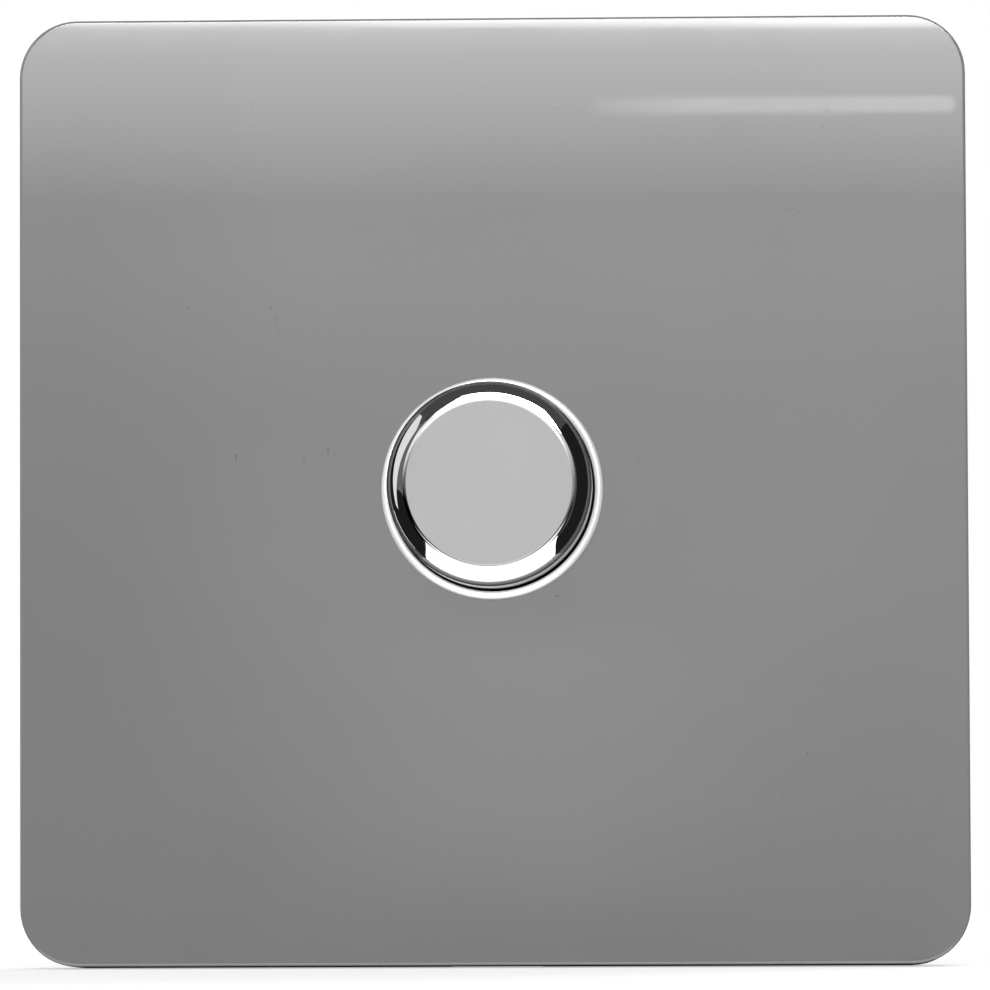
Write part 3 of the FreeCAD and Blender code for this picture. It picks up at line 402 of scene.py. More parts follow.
@dataclass
class Moulded(Finish):
    """Moulded plastic or resin with a fine grain, a faint mottle and a little dust."""

    patch_scale: float = 120.0
    grain_scale: float = 2600.0
    grain_depth: float = 0.006 * MM
    mottle: float = 0.05
    dust_scale: float = 420.0
    dust_share: float = 0.05
    dust_strength: float = 0.35
    dust_color: Color = (0.55, 0.53, 0.5)

    def paint(self) -> None:
        """Mottle the colour, grain the surface and dust it."""
        height, base, dust = self.mould()
        self.set("Base Color", self.blend(dust, base, opaque(self.dust_color)))
        self.bump(height, self.grain_depth)

    def mould(self) -> tuple[Socket, Socket, Socket]:
        """Work out what a moulded surface shows.

        Returns:
            The grain's height, the mottled colour and how much dust covers it.
        """
        grain = self.effect(grain_effect(), Scale=self.grain_scale)
        dark, light = opaque(self.color, 1 - self.mottle), opaque(self.color, 1 + self.mottle)
        base = self.blend(grain["Mottle"], dark, light)
        dust = self.effect(speck_effect(), Scale=self.dust_scale, Share=self.dust_share)
        return grain["Height"], base, self.product(dust["Mask"], self.dust_strength)


@dataclass
class DrawnMetal(Finish):
    """Rolled, drawn or brushed metal, with lines along one way and a patchy gloss."""

    metallic: float = 1.0
    spread: float = 0.05
    grain: Grain = Grain.ALONG_X
    line_scale: float = 2400.0
    line_depth: float = 0.003 * MM
    line_gloss: float = 0.06
    patch: float = 0.08
    dull_scale: float = 140.0
    dull_gain: float = 0.7

    def paint(self) -> None:
        """Draw the lines in tone, gloss and height."""
        lines = self.effect(streak_effect(), Stretch=self.grain.value, Scale=self.line_scale)
        tone = self.ramp(lines["Height"], *NOISE_MIDDLE)
        patch = self.effect(smudge_effect(), Scale=self.dull_scale, Low=1 - self.patch, High=1.0)
        color = self.blend(tone, opaque(self.color, 1 - self.patch), opaque(self.color))
        self.set("Base Color", self.blend(patch["Value"], opaque(self.color, self.dull_gain), color))
        self.roughen(tone, self.line_gloss)
        self.bump(lines["Height"], self.line_depth)


@dataclass
class TurnedMetal(Finish):
    """Metal turned on a lathe, with fine tool lines round the knob's axis."""

    metallic: float = 1.0
    patch_scale: float = 300.0
    pitch: float = 0.12 * MM
    line_depth: float = 0.002 * MM
    tarnish: float = 0.2
    tarnish_scale: float = 260.0
    tarnish_gain: float = 0.45

    def paint(self) -> None:
        """Cut the tool lines and let the colour tarnish in patches."""
        lines = self.effect(turning_effect(), Pitch=self.pitch)
        cloud = self.effect(smudge_effect(), Scale=self.tarnish_scale, Low=0.0, High=self.tarnish)
        dull = opaque(self.color, self.tarnish_gain)
        self.set("Base Color", self.blend(cloud["Value"], opaque(self.color), dull))
        self.bump(lines["Height"], self.line_depth)


@dataclass
class Zinc(Finish):
    """Bright zinc plating: small crystals that each catch the light a little differently."""

    metallic: float = 1.0
    patch_scale: float = 200.0
    crystal_scale: float = 1400.0
    crystal_depth: float = 0.002 * MM
    crystal_gloss: float = 0.08
    tint: Color = (0.58, 0.6, 0.66)

    def paint(self) -> None:
        """Tint and roughen each crystal by itself."""
        cells, shade = self.cells(self.place, self.crystal_scale)
        self.set("Base Color", self.blend(shade[0], opaque(self.color), opaque(self.tint)))
        self.roughen(shade[1], self.crystal_gloss)
        self.bump(cells["Distance"], self.crystal_depth)


@dataclass
class TrackBoard(Moulded):
    """Paper laminate with a horseshoe of dark resistance track printed on it."""

    track_color: Color = (0.012, 0.012, 0.013)
    track_inner: float = 4.0 * MM
    track_outer: float = 6.6 * MM
    track_foot: float = -4.95 * MM

    def paint(self) -> None:
        """Print the track over the laminate."""
        super().paint()
        radius = self.from_axis(self.place)
        outside = self.math("GREATER_THAN", radius, self.track_inner)
        inside = self.math("LESS_THAN", radius, self.track_outer)
        above = self.math("GREATER_THAN", self.parts(self.place)["Z"], self.track_foot)
        track = self.product(outside, inside, above)
        self.set("Base Color", self.blend(track, self.now("Base Color"), opaque(self.track_color)))


@dataclass
class CircuitBoard(Finish):
    """Green solder mask over a glass weave, with paler runs where copper lies under it."""

    patch_scale: float = 150.0
    spread: float = 0.08
    copper_tone: Color = (0.08, 0.3, 0.12)
    run_scale: float = 90.0
    run_width: float = 0.035
    run_length: float = 0.9
    run_spacing: float = 0.32
    edge_color: Color = (0.42, 0.4, 0.24)
    edge_turn: tuple[float, float] = (0.3, 0.7)
    weave_scale: float = 1800.0
    weave_depth: float = 0.004 * MM
    weave_strength: float = 0.5

    def paint(self) -> None:
        """Lay the copper runs, the weave and the bare sawn edges."""
        upright = (math.pi / 2, 0.0, 0.0)
        flat = self.add("Mapping", {"Vector": self.place, "Rotation": upright})
        runs = self.add("TexBrick", {
            "Vector": flat.outputs[0], "Color1": BLACK, "Color2": BLACK, "Mortar": WHITE,
            "Scale": self.run_scale, "Mortar Size": self.run_width, "Brick Width": self.run_length,
            "Row Height": self.run_spacing})
        color = self.blend(runs.outputs["Color"], opaque(self.color), opaque(self.copper_tone))
        facing = self.parts(self.add("NewGeometry").outputs["True Normal"])
        face = self.ramp(self.math("ABSOLUTE", facing["Y"]), *self.edge_turn)
        self.set("Base Color", self.blend(face, opaque(self.edge_color), color))
        weave = self.add("TexChecker", {"Vector": self.place, "Scale": self.weave_scale})
        self.bump(weave.outputs[1], self.weave_depth, self.weave_strength)


@dataclass
class Winding(Finish):
    """Enamelled copper wire wound side by side."""

    metallic: float = 0.9
    patch_scale: float = 300.0
    spread: float = 0.08
    wire: float = 0.5 * MM
    groove_shade_gain: float = 0.2
    groove_shade_share: float = 0.5

    def paint(self) -> None:
        """Round each turn with a bump and paint shade into the grooves between turns."""
        phase = self.math("DIVIDE", self.parts(self.place)["Z"], self.wire / math.pi)
        turn = self.math("ABSOLUTE", self.math("SINE", phase))
        # Painted shade: the wire's colour darkened where the turns meet, in the grooves.
        groove = opaque(self.color, self.groove_shade_gain)
        color = self.blend(self.ramp(turn, 0.0, self.groove_shade_share), groove, opaque(self.color))
        self.set("Base Color", color)
        self.bump(turn, self.wire / 2)


@dataclass
class Sleeve(Moulded):
    """Shrunk sleeve of a capacitor with one pale stripe along it."""

    stripe_color: Color = (0.5, 0.55, 0.62)
    stripe_width: float = 1.6 * MM
    middle: Place = (0.0, 0.0, 0.0)

    def paint(self) -> None:
        """Print the stripe on the sleeve's outer side."""
        super().paint()
        parts = self.parts(self.place)
        across = self.math("ABSOLUTE", self.math("SUBTRACT", parts["Z"], self.middle[2]))
        outer = self.math("GREATER_THAN", parts["X"], self.middle[0])
        stripe = self.product(self.math("LESS_THAN", across, self.stripe_width / 2), outer)
        self.set("Base Color", self.blend(stripe, self.now("Base Color"), opaque(self.stripe_color)))


@dataclass
class Chrome(Finish):
    """Bright plating on the knob, with painted shade in its groove and on the lower part of its wall, and a
    pale satin lip behind it.
    """

    metallic: float = 1.0
    patch_scale: float = 220.0
    spread: float = 0.012
    edge_tint: Color = (0.05, 0.05, 0.05)
    haze_scale: float = 170.0
    haze_share: float = 0.94
    haze_gain: float = 0.6
    # Painted shade: a near-black colour laid over the groove and the wall's lower part, between two radii and
    # behind one depth.
    groove_shade_color: Color = (0.01, 0.01, 0.01)
    groove_shade_inner: float = 0.0
    groove_shade_outer: float = 0.0
    groove_shade_level: float = 0.0
    lip_color: Color = (0.86, 0.86, 0.86)
    lip_roughness: float = 0.32
    lip_metallic: float = 0.2
    ripple_scale: float = 420.0
    ripple_depth: float = 0.002 * MM

    def paint(self) -> None:
        """Polish the cap, paint shade into the groove, ripple it a little and leave the lip satin."""
        self.set("Specular Tint", opaque(self.edge_tint))
        radius = self.from_axis(self.place)
        lip = self.math("GREATER_THAN", radius, self.groove_shade_outer)
        # groove is the mask of the painted shade: the ring from the wall to the lip, kept only behind the
        # shade's depth.
        groove = self.math("SUBTRACT", self.math("GREATER_THAN", radius, self.groove_shade_inner), lip)
        behind = self.math("GREATER_THAN", self.parts(self.place)["Y"], self.groove_shade_level)
        haze = self.effect(smudge_effect(), Scale=self.haze_scale, Low=self.haze_share, High=1.0)
        plated = self.blend(haze["Value"], opaque(self.color, self.haze_gain), opaque(self.color))
        bright = self.blend(lip, plated, opaque(self.lip_color))
        shaded = self.blend(self.product(groove, behind), bright, opaque(self.groove_shade_color))
        self.set("Base Color", shaded)
        polished = self.now("Roughness")
        self.set("Roughness", self.ramp(lip, 0.0, 1.0, polished, self.lip_roughness, smooth=False))
        self.set("Metallic", self.ramp(lip, 0.0, 1.0, self.metallic, self.lip_metallic, smooth=False))
        ripple = self.effect(grain_effect(), Scale=self.ripple_scale)
        self.bump(ripple["Height"], self.ripple_depth)


@dataclass(frozen=True)
class StrayMark:
    """A hair or a speck that lies on the plate, by its path in the photograph."""

    path: tuple[Pixel, ...]
    width: float
    darkness: float


@dataclass
class GlossPlate(Moulded):
    """Polished moulding that mirrors the room, with hairs and specks on it."""

    ior: float = 1.52
    patch_scale: float = 60.0
    spread: float = 0.006
    marks: tuple[tuple[Vector, Vector, float, float], ...] = ()
    hair_color: Color = (0.045, 0.045, 0.045)
    hair_roughness: float = 0.4
    grain_scale: float = 1500.0
    mottle: float = 0.015
    dust_scale: float = 210.0
    dust_strength: float = 0.12
    wave_depth: float = 0.006 * MM
    wave_scale: float = 28.0

    def paint(self) -> None:
        """Mottle and wave the gloss, then lay the marks on it."""
        _, base, dirt = self.mould()
        for start, end, width, darkness in self.marks:
            mark = self.effect(mark_effect(), Start=start, End=end, Width=width)
            dirt = self.math("MAXIMUM", dirt, self.product(mark["Mask"], darkness))
        self.set("Base Color", self.blend(dirt, base, opaque(self.hair_color)))
        self.roughen(dirt, self.hair_roughness)
        self.bump(self.noise(self.place, self.wave_scale, detail=1.0), self.wave_depth)


def dress(finish: Finish, *nodes: str) -> None:
    """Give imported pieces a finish.

    Args:
        finish: The finish they share.
        nodes: The pieces' names.
    """
    material = finish.material()
    for name in nodes:
        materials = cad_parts[name].data.materials
        materials.clear()
        materials.append(material)
        log.info("%s: %s", name, finish.name)


def add_object(name: str, data: bpy.types.ID) -> Thing:
    """Put a mesh, a lamp or a camera into the scene.

    Args:
        name: The object's name.
        data: What it shows.

    Returns:
        The new object.
    """
    item = bpy.data.objects.new(name, data)
    bpy.context.scene.collection.objects.link(item)
    return item


def add_mesh(name: str, mesh: Mesh, material: Material) -> Thing:
    """Put a modelled mesh into the scene.

    Args:
        name: The object's name.
        mesh: Its mesh, in place; it is freed.
        material: Its material.

    Returns:
        The new object.
    """
    data = bpy.data.meshes.new(name)
    mesh.to_mesh(data)
    mesh.free()
    data.materials.append(material)
    return add_object(name, data)


def make_piece(mesh: Mesh, name: str, finish: Finish, body: Body, node: str) -> Thing:
    """Turn a finished mesh into a piece that stands for a packed one.

    Args:
        mesh: The modelled mesh, in place; it is freed.
        name: The piece's name.
        finish: Its finish.
        body: The body that it moves with.
        node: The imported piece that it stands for.

    Returns:
        The new object.
    """
    for face in mesh.faces:
        face.smooth = True
    for edge in mesh.edges:
        edge.smooth = edge.is_manifold and edge.calc_face_angle() < SHARP_ANGLE
    piece = add_mesh(name, mesh, finish.material())
    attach(piece, body.value)
    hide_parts(node)
    log.info("%s: %d faces, stands for %s", name, len(piece.data.polygons), node)
    return piece


class Lathe:
    """A profile of radius against depth, drawn point by point and then turned round the knob's axis."""

    def __init__(self, radius: float, depth: float) -> None:
        """Start the profile at its first point."""
        self.mesh = bmesh.new()
        self.last = self.mesh.verts.new((radius, depth, 0.0))

    def line(self, *points: tuple[float, float]) -> None:
        """Carry the profile on in straight lines.

        Args:
            points: Where each line ends, from the axis and along it.
        """
        for radius, depth in points:
            vert = self.mesh.verts.new((radius, depth, 0.0))
            self.mesh.edges.new((self.last, vert))
            self.last = vert

    def arc(self, radius: float, depth: float, degrees: float, steps: int) -> None:
        """Carry the profile on round a centre.

        Args:
            radius: The centre, from the axis.
            depth: The centre, along the axis.
            degrees: How far the arc goes.
            steps: Straight runs that make it.
        """
        made = bmesh.ops.spin(self.mesh, geom=[self.last], cent=(radius, depth, 0.0), axis=(0, 0, 1),
                              angle=math.radians(degrees), steps=steps)
        self.last = next(part for part in made["geom_last"] if isinstance(part, bmesh.types.BMVert))

    def turn(self, steps: int) -> Mesh:
        """Spin the profile once round.

        Args:
            steps: Divisions of the full turn.

        Returns:
            The closed mesh.
        """
        profile = self.mesh.verts[:] + self.mesh.edges[:]
        bmesh.ops.spin(self.mesh, geom=profile, cent=(0, 0, 0), axis=(0, 1, 0), angle=FULL_TURN, steps=steps,
                       use_merge=True)
        bmesh.ops.remove_doubles(self.mesh, verts=self.mesh.verts[:], dist=WELD)
        bmesh.ops.recalc_face_normals(self.mesh, faces=self.mesh.faces[:])
        return self.mesh


@dataclass
class PhotoCamera:
    """The photograph's camera: almost square on to the plate, a little low and to the right."""

    distance: float = 0.7
    right_turn: float = 1.8
    rise: float = -3.0
    roll: float = -0.23
    frame_widths: float = 7.1
    sensor: float = 36.0
    aim: Vector = field(default_factory=lambda: Vector((0.2 * MM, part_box("front_plate")[0].y, -0.5 * MM)))

    def axes(self) -> tuple[Vector, Quaternion]:
        """Work out where the camera is and how it is turned.

        Returns:
            The eye's place and the camera's rotation.
        """
        turn, rise = math.radians(self.right_turn), math.radians(self.rise)
        back = Vector((math.cos(rise) * math.sin(turn), -math.cos(rise) * math.cos(turn), math.sin(rise)))
        rotation = (-back).to_track_quat("-Z", "Y") @ Quaternion((0, 0, 1), math.radians(self.roll))
        return self.aim + back * self.distance, rotation

    def on_plate(self, pixel: Pixel) -> Vector:
        """Find the place on the plate's face that a pixel of the photograph shows.

        Args:
            pixel: Its column and row.

        Returns:
            The place, in metres.
        """
        eye, rotation = self.axes()
        half = PHOTO_SIDE / 2
        scale = PHOTO_SIDE * self.frame_widths
        ray = rotation @ Vector(((pixel[0] - half) / scale, (half - pixel[1]) / scale, -1.0))
        return eye + ray * ((self.aim.y - eye.y) / ray.y)

    def build(self) -> None:
        """Set the camera up and look through it."""
        data = bpy.data.cameras.new("photo_camera")
        data.sensor_width = self.sensor
        data.lens = self.sensor * self.frame_widths
        camera = add_object("photo_camera", data)
        camera.rotation_mode = "QUATERNION"
        camera.location, camera.rotation_quaternion = self.axes()
        bpy.context.scene.camera = camera


@dataclass
class FrontPlate:
    """The clip-on gloss plate, with the hairs and specks that lie on it."""

    camera: PhotoCamera
    color: Color = (0.227, 0.227, 0.227)
    roughness: float = 0.014
    marks: tuple[StrayMark, ...] = (
        StrayMark(((236, 132), (250, 128), (270, 136)), 1.3, 0.34),
        StrayMark(((757, 69), (763, 68), (764, 75)), 1.2, 0.26),
        StrayMark(((783, 211), (791, 208), (800, 213)), 1.3, 0.16),
        StrayMark(((555, 109), (566, 106), (578, 109)), 1.3, 0.2),
        StrayMark(((276, 318), (275, 326), (279, 333)), 2.0, 0.12),
        StrayMark(((252, 103), (253, 106)), 1.4, 0.35),
        StrayMark(((236, 455), (236, 459)), 1.4, 0.5),
        StrayMark(((328, 449), (328, 453)), 1.6, 0.55),
        StrayMark(((456, 30), (458, 30)), 1.4, 0.3),
        StrayMark(((188, 308), (189, 309)), 1.4, 0.3),
        StrayMark(((270, 308), (271, 309)), 1.5, 0.35),
        StrayMark(((556, 596), (558, 596)), 1.4, 0.3),
        StrayMark(((807, 753), (808, 754)), 1.4, 0.28),
        StrayMark(((821, 126), (823, 127)), 1.4, 0.28),
    )

    def dress(self) -> None:
        """Gloss the plate and lay the marks on it."""
        pixel = self.camera.distance / (PHOTO_SIDE * self.camera.frame_widths)
        runs = []
        for mark in self.marks:
            points = [self.camera.on_plate(point) for point in mark.path]
            width = mark.width * pixel
            runs += [(start, end, width, mark.darkness) for start, end in zip(points, points[1:])]
        finish = GlossPlate("grey gloss moulding", self.color, self.roughness, marks=tuple(runs))
        dress(finish, "front_plate")


@dataclass
class Knob:
    """The plated push-and-turn knob and the flat spring in its socket."""

    shoulder: float = 1.95 * MM
    face_edge: float = 0.15 * MM
    wall: float = 10.05 * MM
    groove: float = 0.15 * MM
    groove_depth: float = 0.9 * MM
    # Where the painted shade in the groove begins and ends, and how far up the wall it reaches.
    shade_inset: float = 0.05 * MM
    shade_overlap: float = 0.02 * MM
    shade_reach: float = 1.2 * MM
    lip_height: float = 1.3 * MM
    foot_edge: float = 0.1 * MM
    hollow: float = 8.8 * MM
    top: float = 1.6 * MM
    boss: float = 4.8 * MM
    boss_recess: float = 0.5 * MM
    socket: float = 3.05 * MM
    rib_count: int = 6
    rib_width: float = 1.0 * MM
    rib_recess: float = 3.5 * MM
    arc_steps: int = 20
    steps: int = 192
    color: Color = (0.56, 0.56, 0.56)
    roughness: float = 0.03

    def build(self) -> None:
        """Turn the cap: flat face, round shoulder, grooved lip, hollow, boss and socket."""
        low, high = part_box("knob")
        face, foot, rim = low.y, high.y, high.x
        lip_front = foot - self.lip_height
        groove_outer = self.wall + self.groove
        groove_floor = lip_front + self.groove_depth
        bead = (rim - groove_outer) / 2
        inside = face + self.top
        boss_end = foot - self.boss_recess
        lathe = Lathe(0.0, face)
        lathe.line((self.wall - self.shoulder - self.face_edge, face), (self.wall - self.shoulder, face))
        lathe.arc(self.wall - self.shoulder, face + self.shoulder, 90, self.arc_steps)
        lathe.line((self.wall, groove_floor), (groove_outer, groove_floor), (groove_outer, lip_front + bead))
        lathe.arc(rim - bead, lip_front + bead, 180, self.arc_steps)
        lathe.line((rim, foot - self.foot_edge), (rim - self.foot_edge, foot), (self.hollow, foot))
        lathe.line((self.hollow, inside), (self.boss, inside), (self.boss, boss_end))
        lathe.line((self.socket, boss_end), (self.socket, inside), (0.0, inside))
        mesh = lathe.turn(self.steps)
        self.add_ribs(mesh, inside, foot - self.rib_recess)
        # The finish paints near-black shade over the groove and the wall's lower part, between these radii
        # and behind this depth.
        finish = Chrome("bright plating", self.color, self.roughness,
                        groove_shade_inner=self.wall - self.shade_inset,
                        groove_shade_outer=groove_outer + self.shade_overlap,
                        groove_shade_level=lip_front - self.shade_reach)
        cap = make_piece(mesh, "knob_cap", finish, Body.SPINDLE, "knob")
        cap.visible_shadow = False
        cap.visible_diffuse = False

    def add_ribs(self, mesh: Mesh, inside: float, rib_end: float) -> None:
        """Stand the ribs between the boss and the wall.

        Args:
            mesh: The turned cap.
            inside: The depth of the cap's inner face.
            rib_end: The depth where the ribs stop.
        """
        reach = self.hollow - self.boss
        for index in range(self.rib_count):
            rib = bmesh.ops.create_cube(mesh, size=1.0)["verts"]
            bmesh.ops.scale(mesh, vec=(reach, rib_end - inside, self.rib_width), verts=rib)
            bmesh.ops.translate(mesh, vec=(self.boss + reach / 2, (rib_end + inside) / 2, 0.0), verts=rib)
            turn = Quaternion((0, 1, 0), (index + 0.5) * FULL_TURN / self.rib_count)
            bmesh.ops.rotate(mesh, cent=(0, 0, 0), matrix=turn.to_matrix(), verts=rib)

    def dress(self) -> None:
        """Finish the spring that grips the spindle."""
        dress(DrawnMetal("spring strip", STEEL, 0.28, grain=Grain.ALONG_Y), "knob_grip_spring")


@dataclass
class WallFrame:
    """The plastic frame behind the plate, and the nut and washer that hold the module to it."""

    color: Color = (0.62, 0.62, 0.6)

    def dress(self) -> None:
        """Finish the frame and its fixings."""
        dress(Moulded("frame moulding", self.color, 0.42, grain_depth=0.01 * MM, mottle=0.03),
              "mounting_frame")
        dress(Zinc("bright zinc", ZINC, 0.24), "lock_washer", "bush_nut")


@dataclass
class DimmerModule:
    """The closed box behind the frame: heatsink, case, screws and wire terminals."""

    case_color: Color = (0.03, 0.03, 0.032)
    sheet_color: Color = (0.72, 0.72, 0.73)
    brass: Color = (0.72, 0.52, 0.24)

    def dress(self) -> None:
        """Finish the box and what shows on its outside."""
        dress(Moulded("case moulding", self.case_color, 0.48, grain_scale=2200.0, grain_depth=0.02 * MM,
                      mottle=0.12, dust_share=0.08), "module_case")
        dress(DrawnMetal("rolled aluminium", self.sheet_color, 0.3), "heatsink_plate")
        dress(Zinc("screw zinc", ZINC, 0.26), "case_screws", "terminal_screws")
        dress(DrawnMetal("terminal brass", self.brass, 0.26, grain=Grain.ALONG_Z), "wire_terminals")


@dataclass
class Potentiometer:
    """The control on the spindle: threaded bush, spindle, can, rotor and track."""

    thread_pitch: float = 0.75 * MM
    thread_depth: float = 0.32 * MM
    thread_turns: int = 9
    flange: float = 7.0 * MM
    flange_depth: float = 1.0 * MM
    barrel: float = 5.0 * MM
    bore: float = 3.03 * MM
    steps: int = 96

    def build(self) -> None:
        """Turn the bush, with the ridges of its thread."""
        low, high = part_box("threaded_bush")
        crest, root = self.barrel, self.barrel - self.thread_depth
        flange_front = high.y - self.flange_depth
        lathe = Lathe(self.bore, high.y)
        lathe.line((self.flange, high.y), (self.flange, flange_front), (crest, flange_front))
        for turn in range(self.thread_turns, 0, -1):
            level = low.y + turn * self.thread_pitch
            lathe.line((crest, level), (root, level - self.thread_pitch / 2))
        lathe.line((root, low.y), (self.bore, low.y), (self.bore, high.y))
        finish = TurnedMetal("turned brass", (0.74, 0.54, 0.26), 0.24)
        mesh = lathe.turn(self.steps)
        make_piece(mesh, "threaded_bush_turned", finish, Body.BASE, "threaded_bush")

    def dress(self) -> None:
        """Finish the spindle and what turns with it or round it."""
        dress(TurnedMetal("turned spindle", (0.7, 0.7, 0.7), 0.24, tarnish=0.1), "pot_shaft")
        dress(DrawnMetal("clip steel", (0.46, 0.46, 0.47), 0.3), "retaining_clip")
        dress(Zinc("can zinc", ZINC, 0.22), "pot_can")
        dress(Moulded("natural rotor moulding", (0.72, 0.7, 0.63), 0.4, mottle=0.06), "rotor")
        dress(DrawnMetal("wiper bronze", (0.72, 0.5, 0.3), 0.22, grain=Grain.ALONG_Z), "wiper")
        dress(DrawnMetal("tinned legs", (0.66, 0.64, 0.6), 0.3, grain=Grain.ALONG_Y), "pot_terminals")
        dress(TrackBoard("track laminate", (0.26, 0.13, 0.05), 0.5, mottle=0.16), "track_wafer")


@dataclass
class PushSwitch:
    """The latching switch behind the control, with its coiled return spring."""

    wire: float = 0.25 * MM
    coil: float = 2.4 * MM
    turns: int = 4
    turn_steps: int = 40
    wire_sides: int = 14
    travel: float = 1.5 * MM

    def build(self) -> None:
        """Coil the return spring and give it a mesh of its own."""
        low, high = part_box("return_spring")
        start, end = low.y + self.wire, high.y - self.wire
        steps = self.turns * self.turn_steps
        mesh = bmesh.new()
        bmesh.ops.create_circle(mesh, segments=self.wire_sides, radius=self.wire, cap_ends=False)
        bmesh.ops.translate(mesh, vec=(self.coil, start, 0.0), verts=mesh.verts[:])
        bmesh.ops.spin(mesh, geom=mesh.verts[:] + mesh.edges[:], cent=(0, 0, 0), axis=(0, 1, 0),
                       dvec=(0, (end - start) / steps, 0), angle=FULL_TURN * self.turns, steps=steps)
        bmesh.ops.holes_fill(mesh, edges=mesh.edges[:])
        bmesh.ops.recalc_face_normals(mesh, faces=mesh.faces[:])
        finish = DrawnMetal("drawn spring wire", STEEL, 0.24)
        spring = make_piece(mesh, "return_spring_coil", finish, Body.BASE, "return_spring")
        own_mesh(spring)

    def dress(self) -> None:
        """Finish the switch's box, slider, latch and contacts."""
        dress(Moulded("switch moulding", (0.05, 0.05, 0.06), 0.34), "switch_case")
        dress(Moulded("slider moulding", (0.74, 0.72, 0.66), 0.38), "switch_plunger")
        dress(DrawnMetal("latch wire", STEEL, 0.26, grain=Grain.ALONG_Y), "latch_pin")
        dress(DrawnMetal("contact bronze", (0.7, 0.48, 0.28), 0.22), "moving_contact", "fixed_contacts")


@dataclass
class Electronics:
    """The circuit board and what stands on it."""

    def dress(self) -> None:
        """Finish the board and each component."""
        low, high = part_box("smoothing_capacitor")
        dress(CircuitBoard("solder mask", (0.025, 0.15, 0.06), 0.26), "circuit_board")
        dress(Moulded("component epoxy", (0.028, 0.028, 0.03), 0.5, mottle=0.1), "power_transistors",
              "rectifier", "controller_chip", "resistors")
        dress(Moulded("thermal silicone", (0.4, 0.44, 0.5), 0.62, mottle=0.08), "thermal_pads")
        dress(Moulded("sintered ferrite", (0.07, 0.07, 0.075), 0.58, grain_depth=0.03 * MM, mottle=0.2),
              "choke_core")
        dress(Winding("enamelled copper", (0.72, 0.3, 0.14), 0.24), "choke_winding")
        dress(Moulded("film capacitor box", (0.72, 0.5, 0.07), 0.3, mottle=0.04), "film_capacitor")
        dress(Sleeve("capacitor sleeve", (0.025, 0.045, 0.13), 0.24, mottle=0.06,
                     middle=tuple((low + high) / 2)), "smoothing_capacitor")
        dress(Moulded("dipped coating", (0.05, 0.19, 0.5), 0.2, grain_scale=700.0,
                      grain_depth=0.03 * MM, mottle=0.1), "varistor")
        dress(Moulded("fuse moulding", (0.5, 0.48, 0.42), 0.42, mottle=0.06), "fuse_link")


class Glow(Graph):
    """A card's material, which only glows."""

    def __init__(self, name: str) -> None:
        """Start an empty material.

        Args:
            name: The material's name.
        """
        self.material = bpy.data.materials.new(name)
        self.material.use_nodes = True
        self.material.node_tree.nodes.clear()
        super().__init__(self.material.node_tree)

    def shine(self, level: Value) -> Material:
        """Let the card glow.

        Args:
            level: How bright it is.

        Returns:
            The finished material.
        """
        glow = self.add("Emission", {"Strength": level})
        self.add("OutputMaterial", {"Surface": glow.outputs[0]})
        return self.material


@dataclass(frozen=True)
class Card:
    """A studio card that only reflections see: its place, size, glow and how its far end narrows."""

    name: str
    middle: Place
    size: tuple[float, float]
    turn: tuple[float, float, float]
    level: float = 0.0
    taper: float = 1.0

    def stand(self, material: Material) -> None:
        """Stand the card where only reflections see it.

        Args:
            material: Its glow.
        """
        mesh = bmesh.new()
        bmesh.ops.create_grid(mesh, x_segments=1, y_segments=1, size=0.5)
        far_end = [vert for vert in mesh.verts if vert.co.y > 0]
        bmesh.ops.scale(mesh, vec=(self.taper, 1.0, 1.0), verts=far_end)
        bmesh.ops.scale(mesh, vec=(*self.size, 1.0), verts=mesh.verts[:])
        stage = add_mesh(self.name, mesh, material)
        stage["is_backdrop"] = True
        stage.location = self.middle
        stage.rotation_euler = [math.radians(angle) for angle in self.turn]
        stage.visible_camera = False
        stage.visible_diffuse = False
        stage.visible_shadow = False
        stage.visible_transmission = False


class Fade(NamedTuple):
    """A number that changes along one way: where the change lies, and the number before and after it."""

    begin: float
    end: float
    before: float
    after: float
    smooth: bool = True


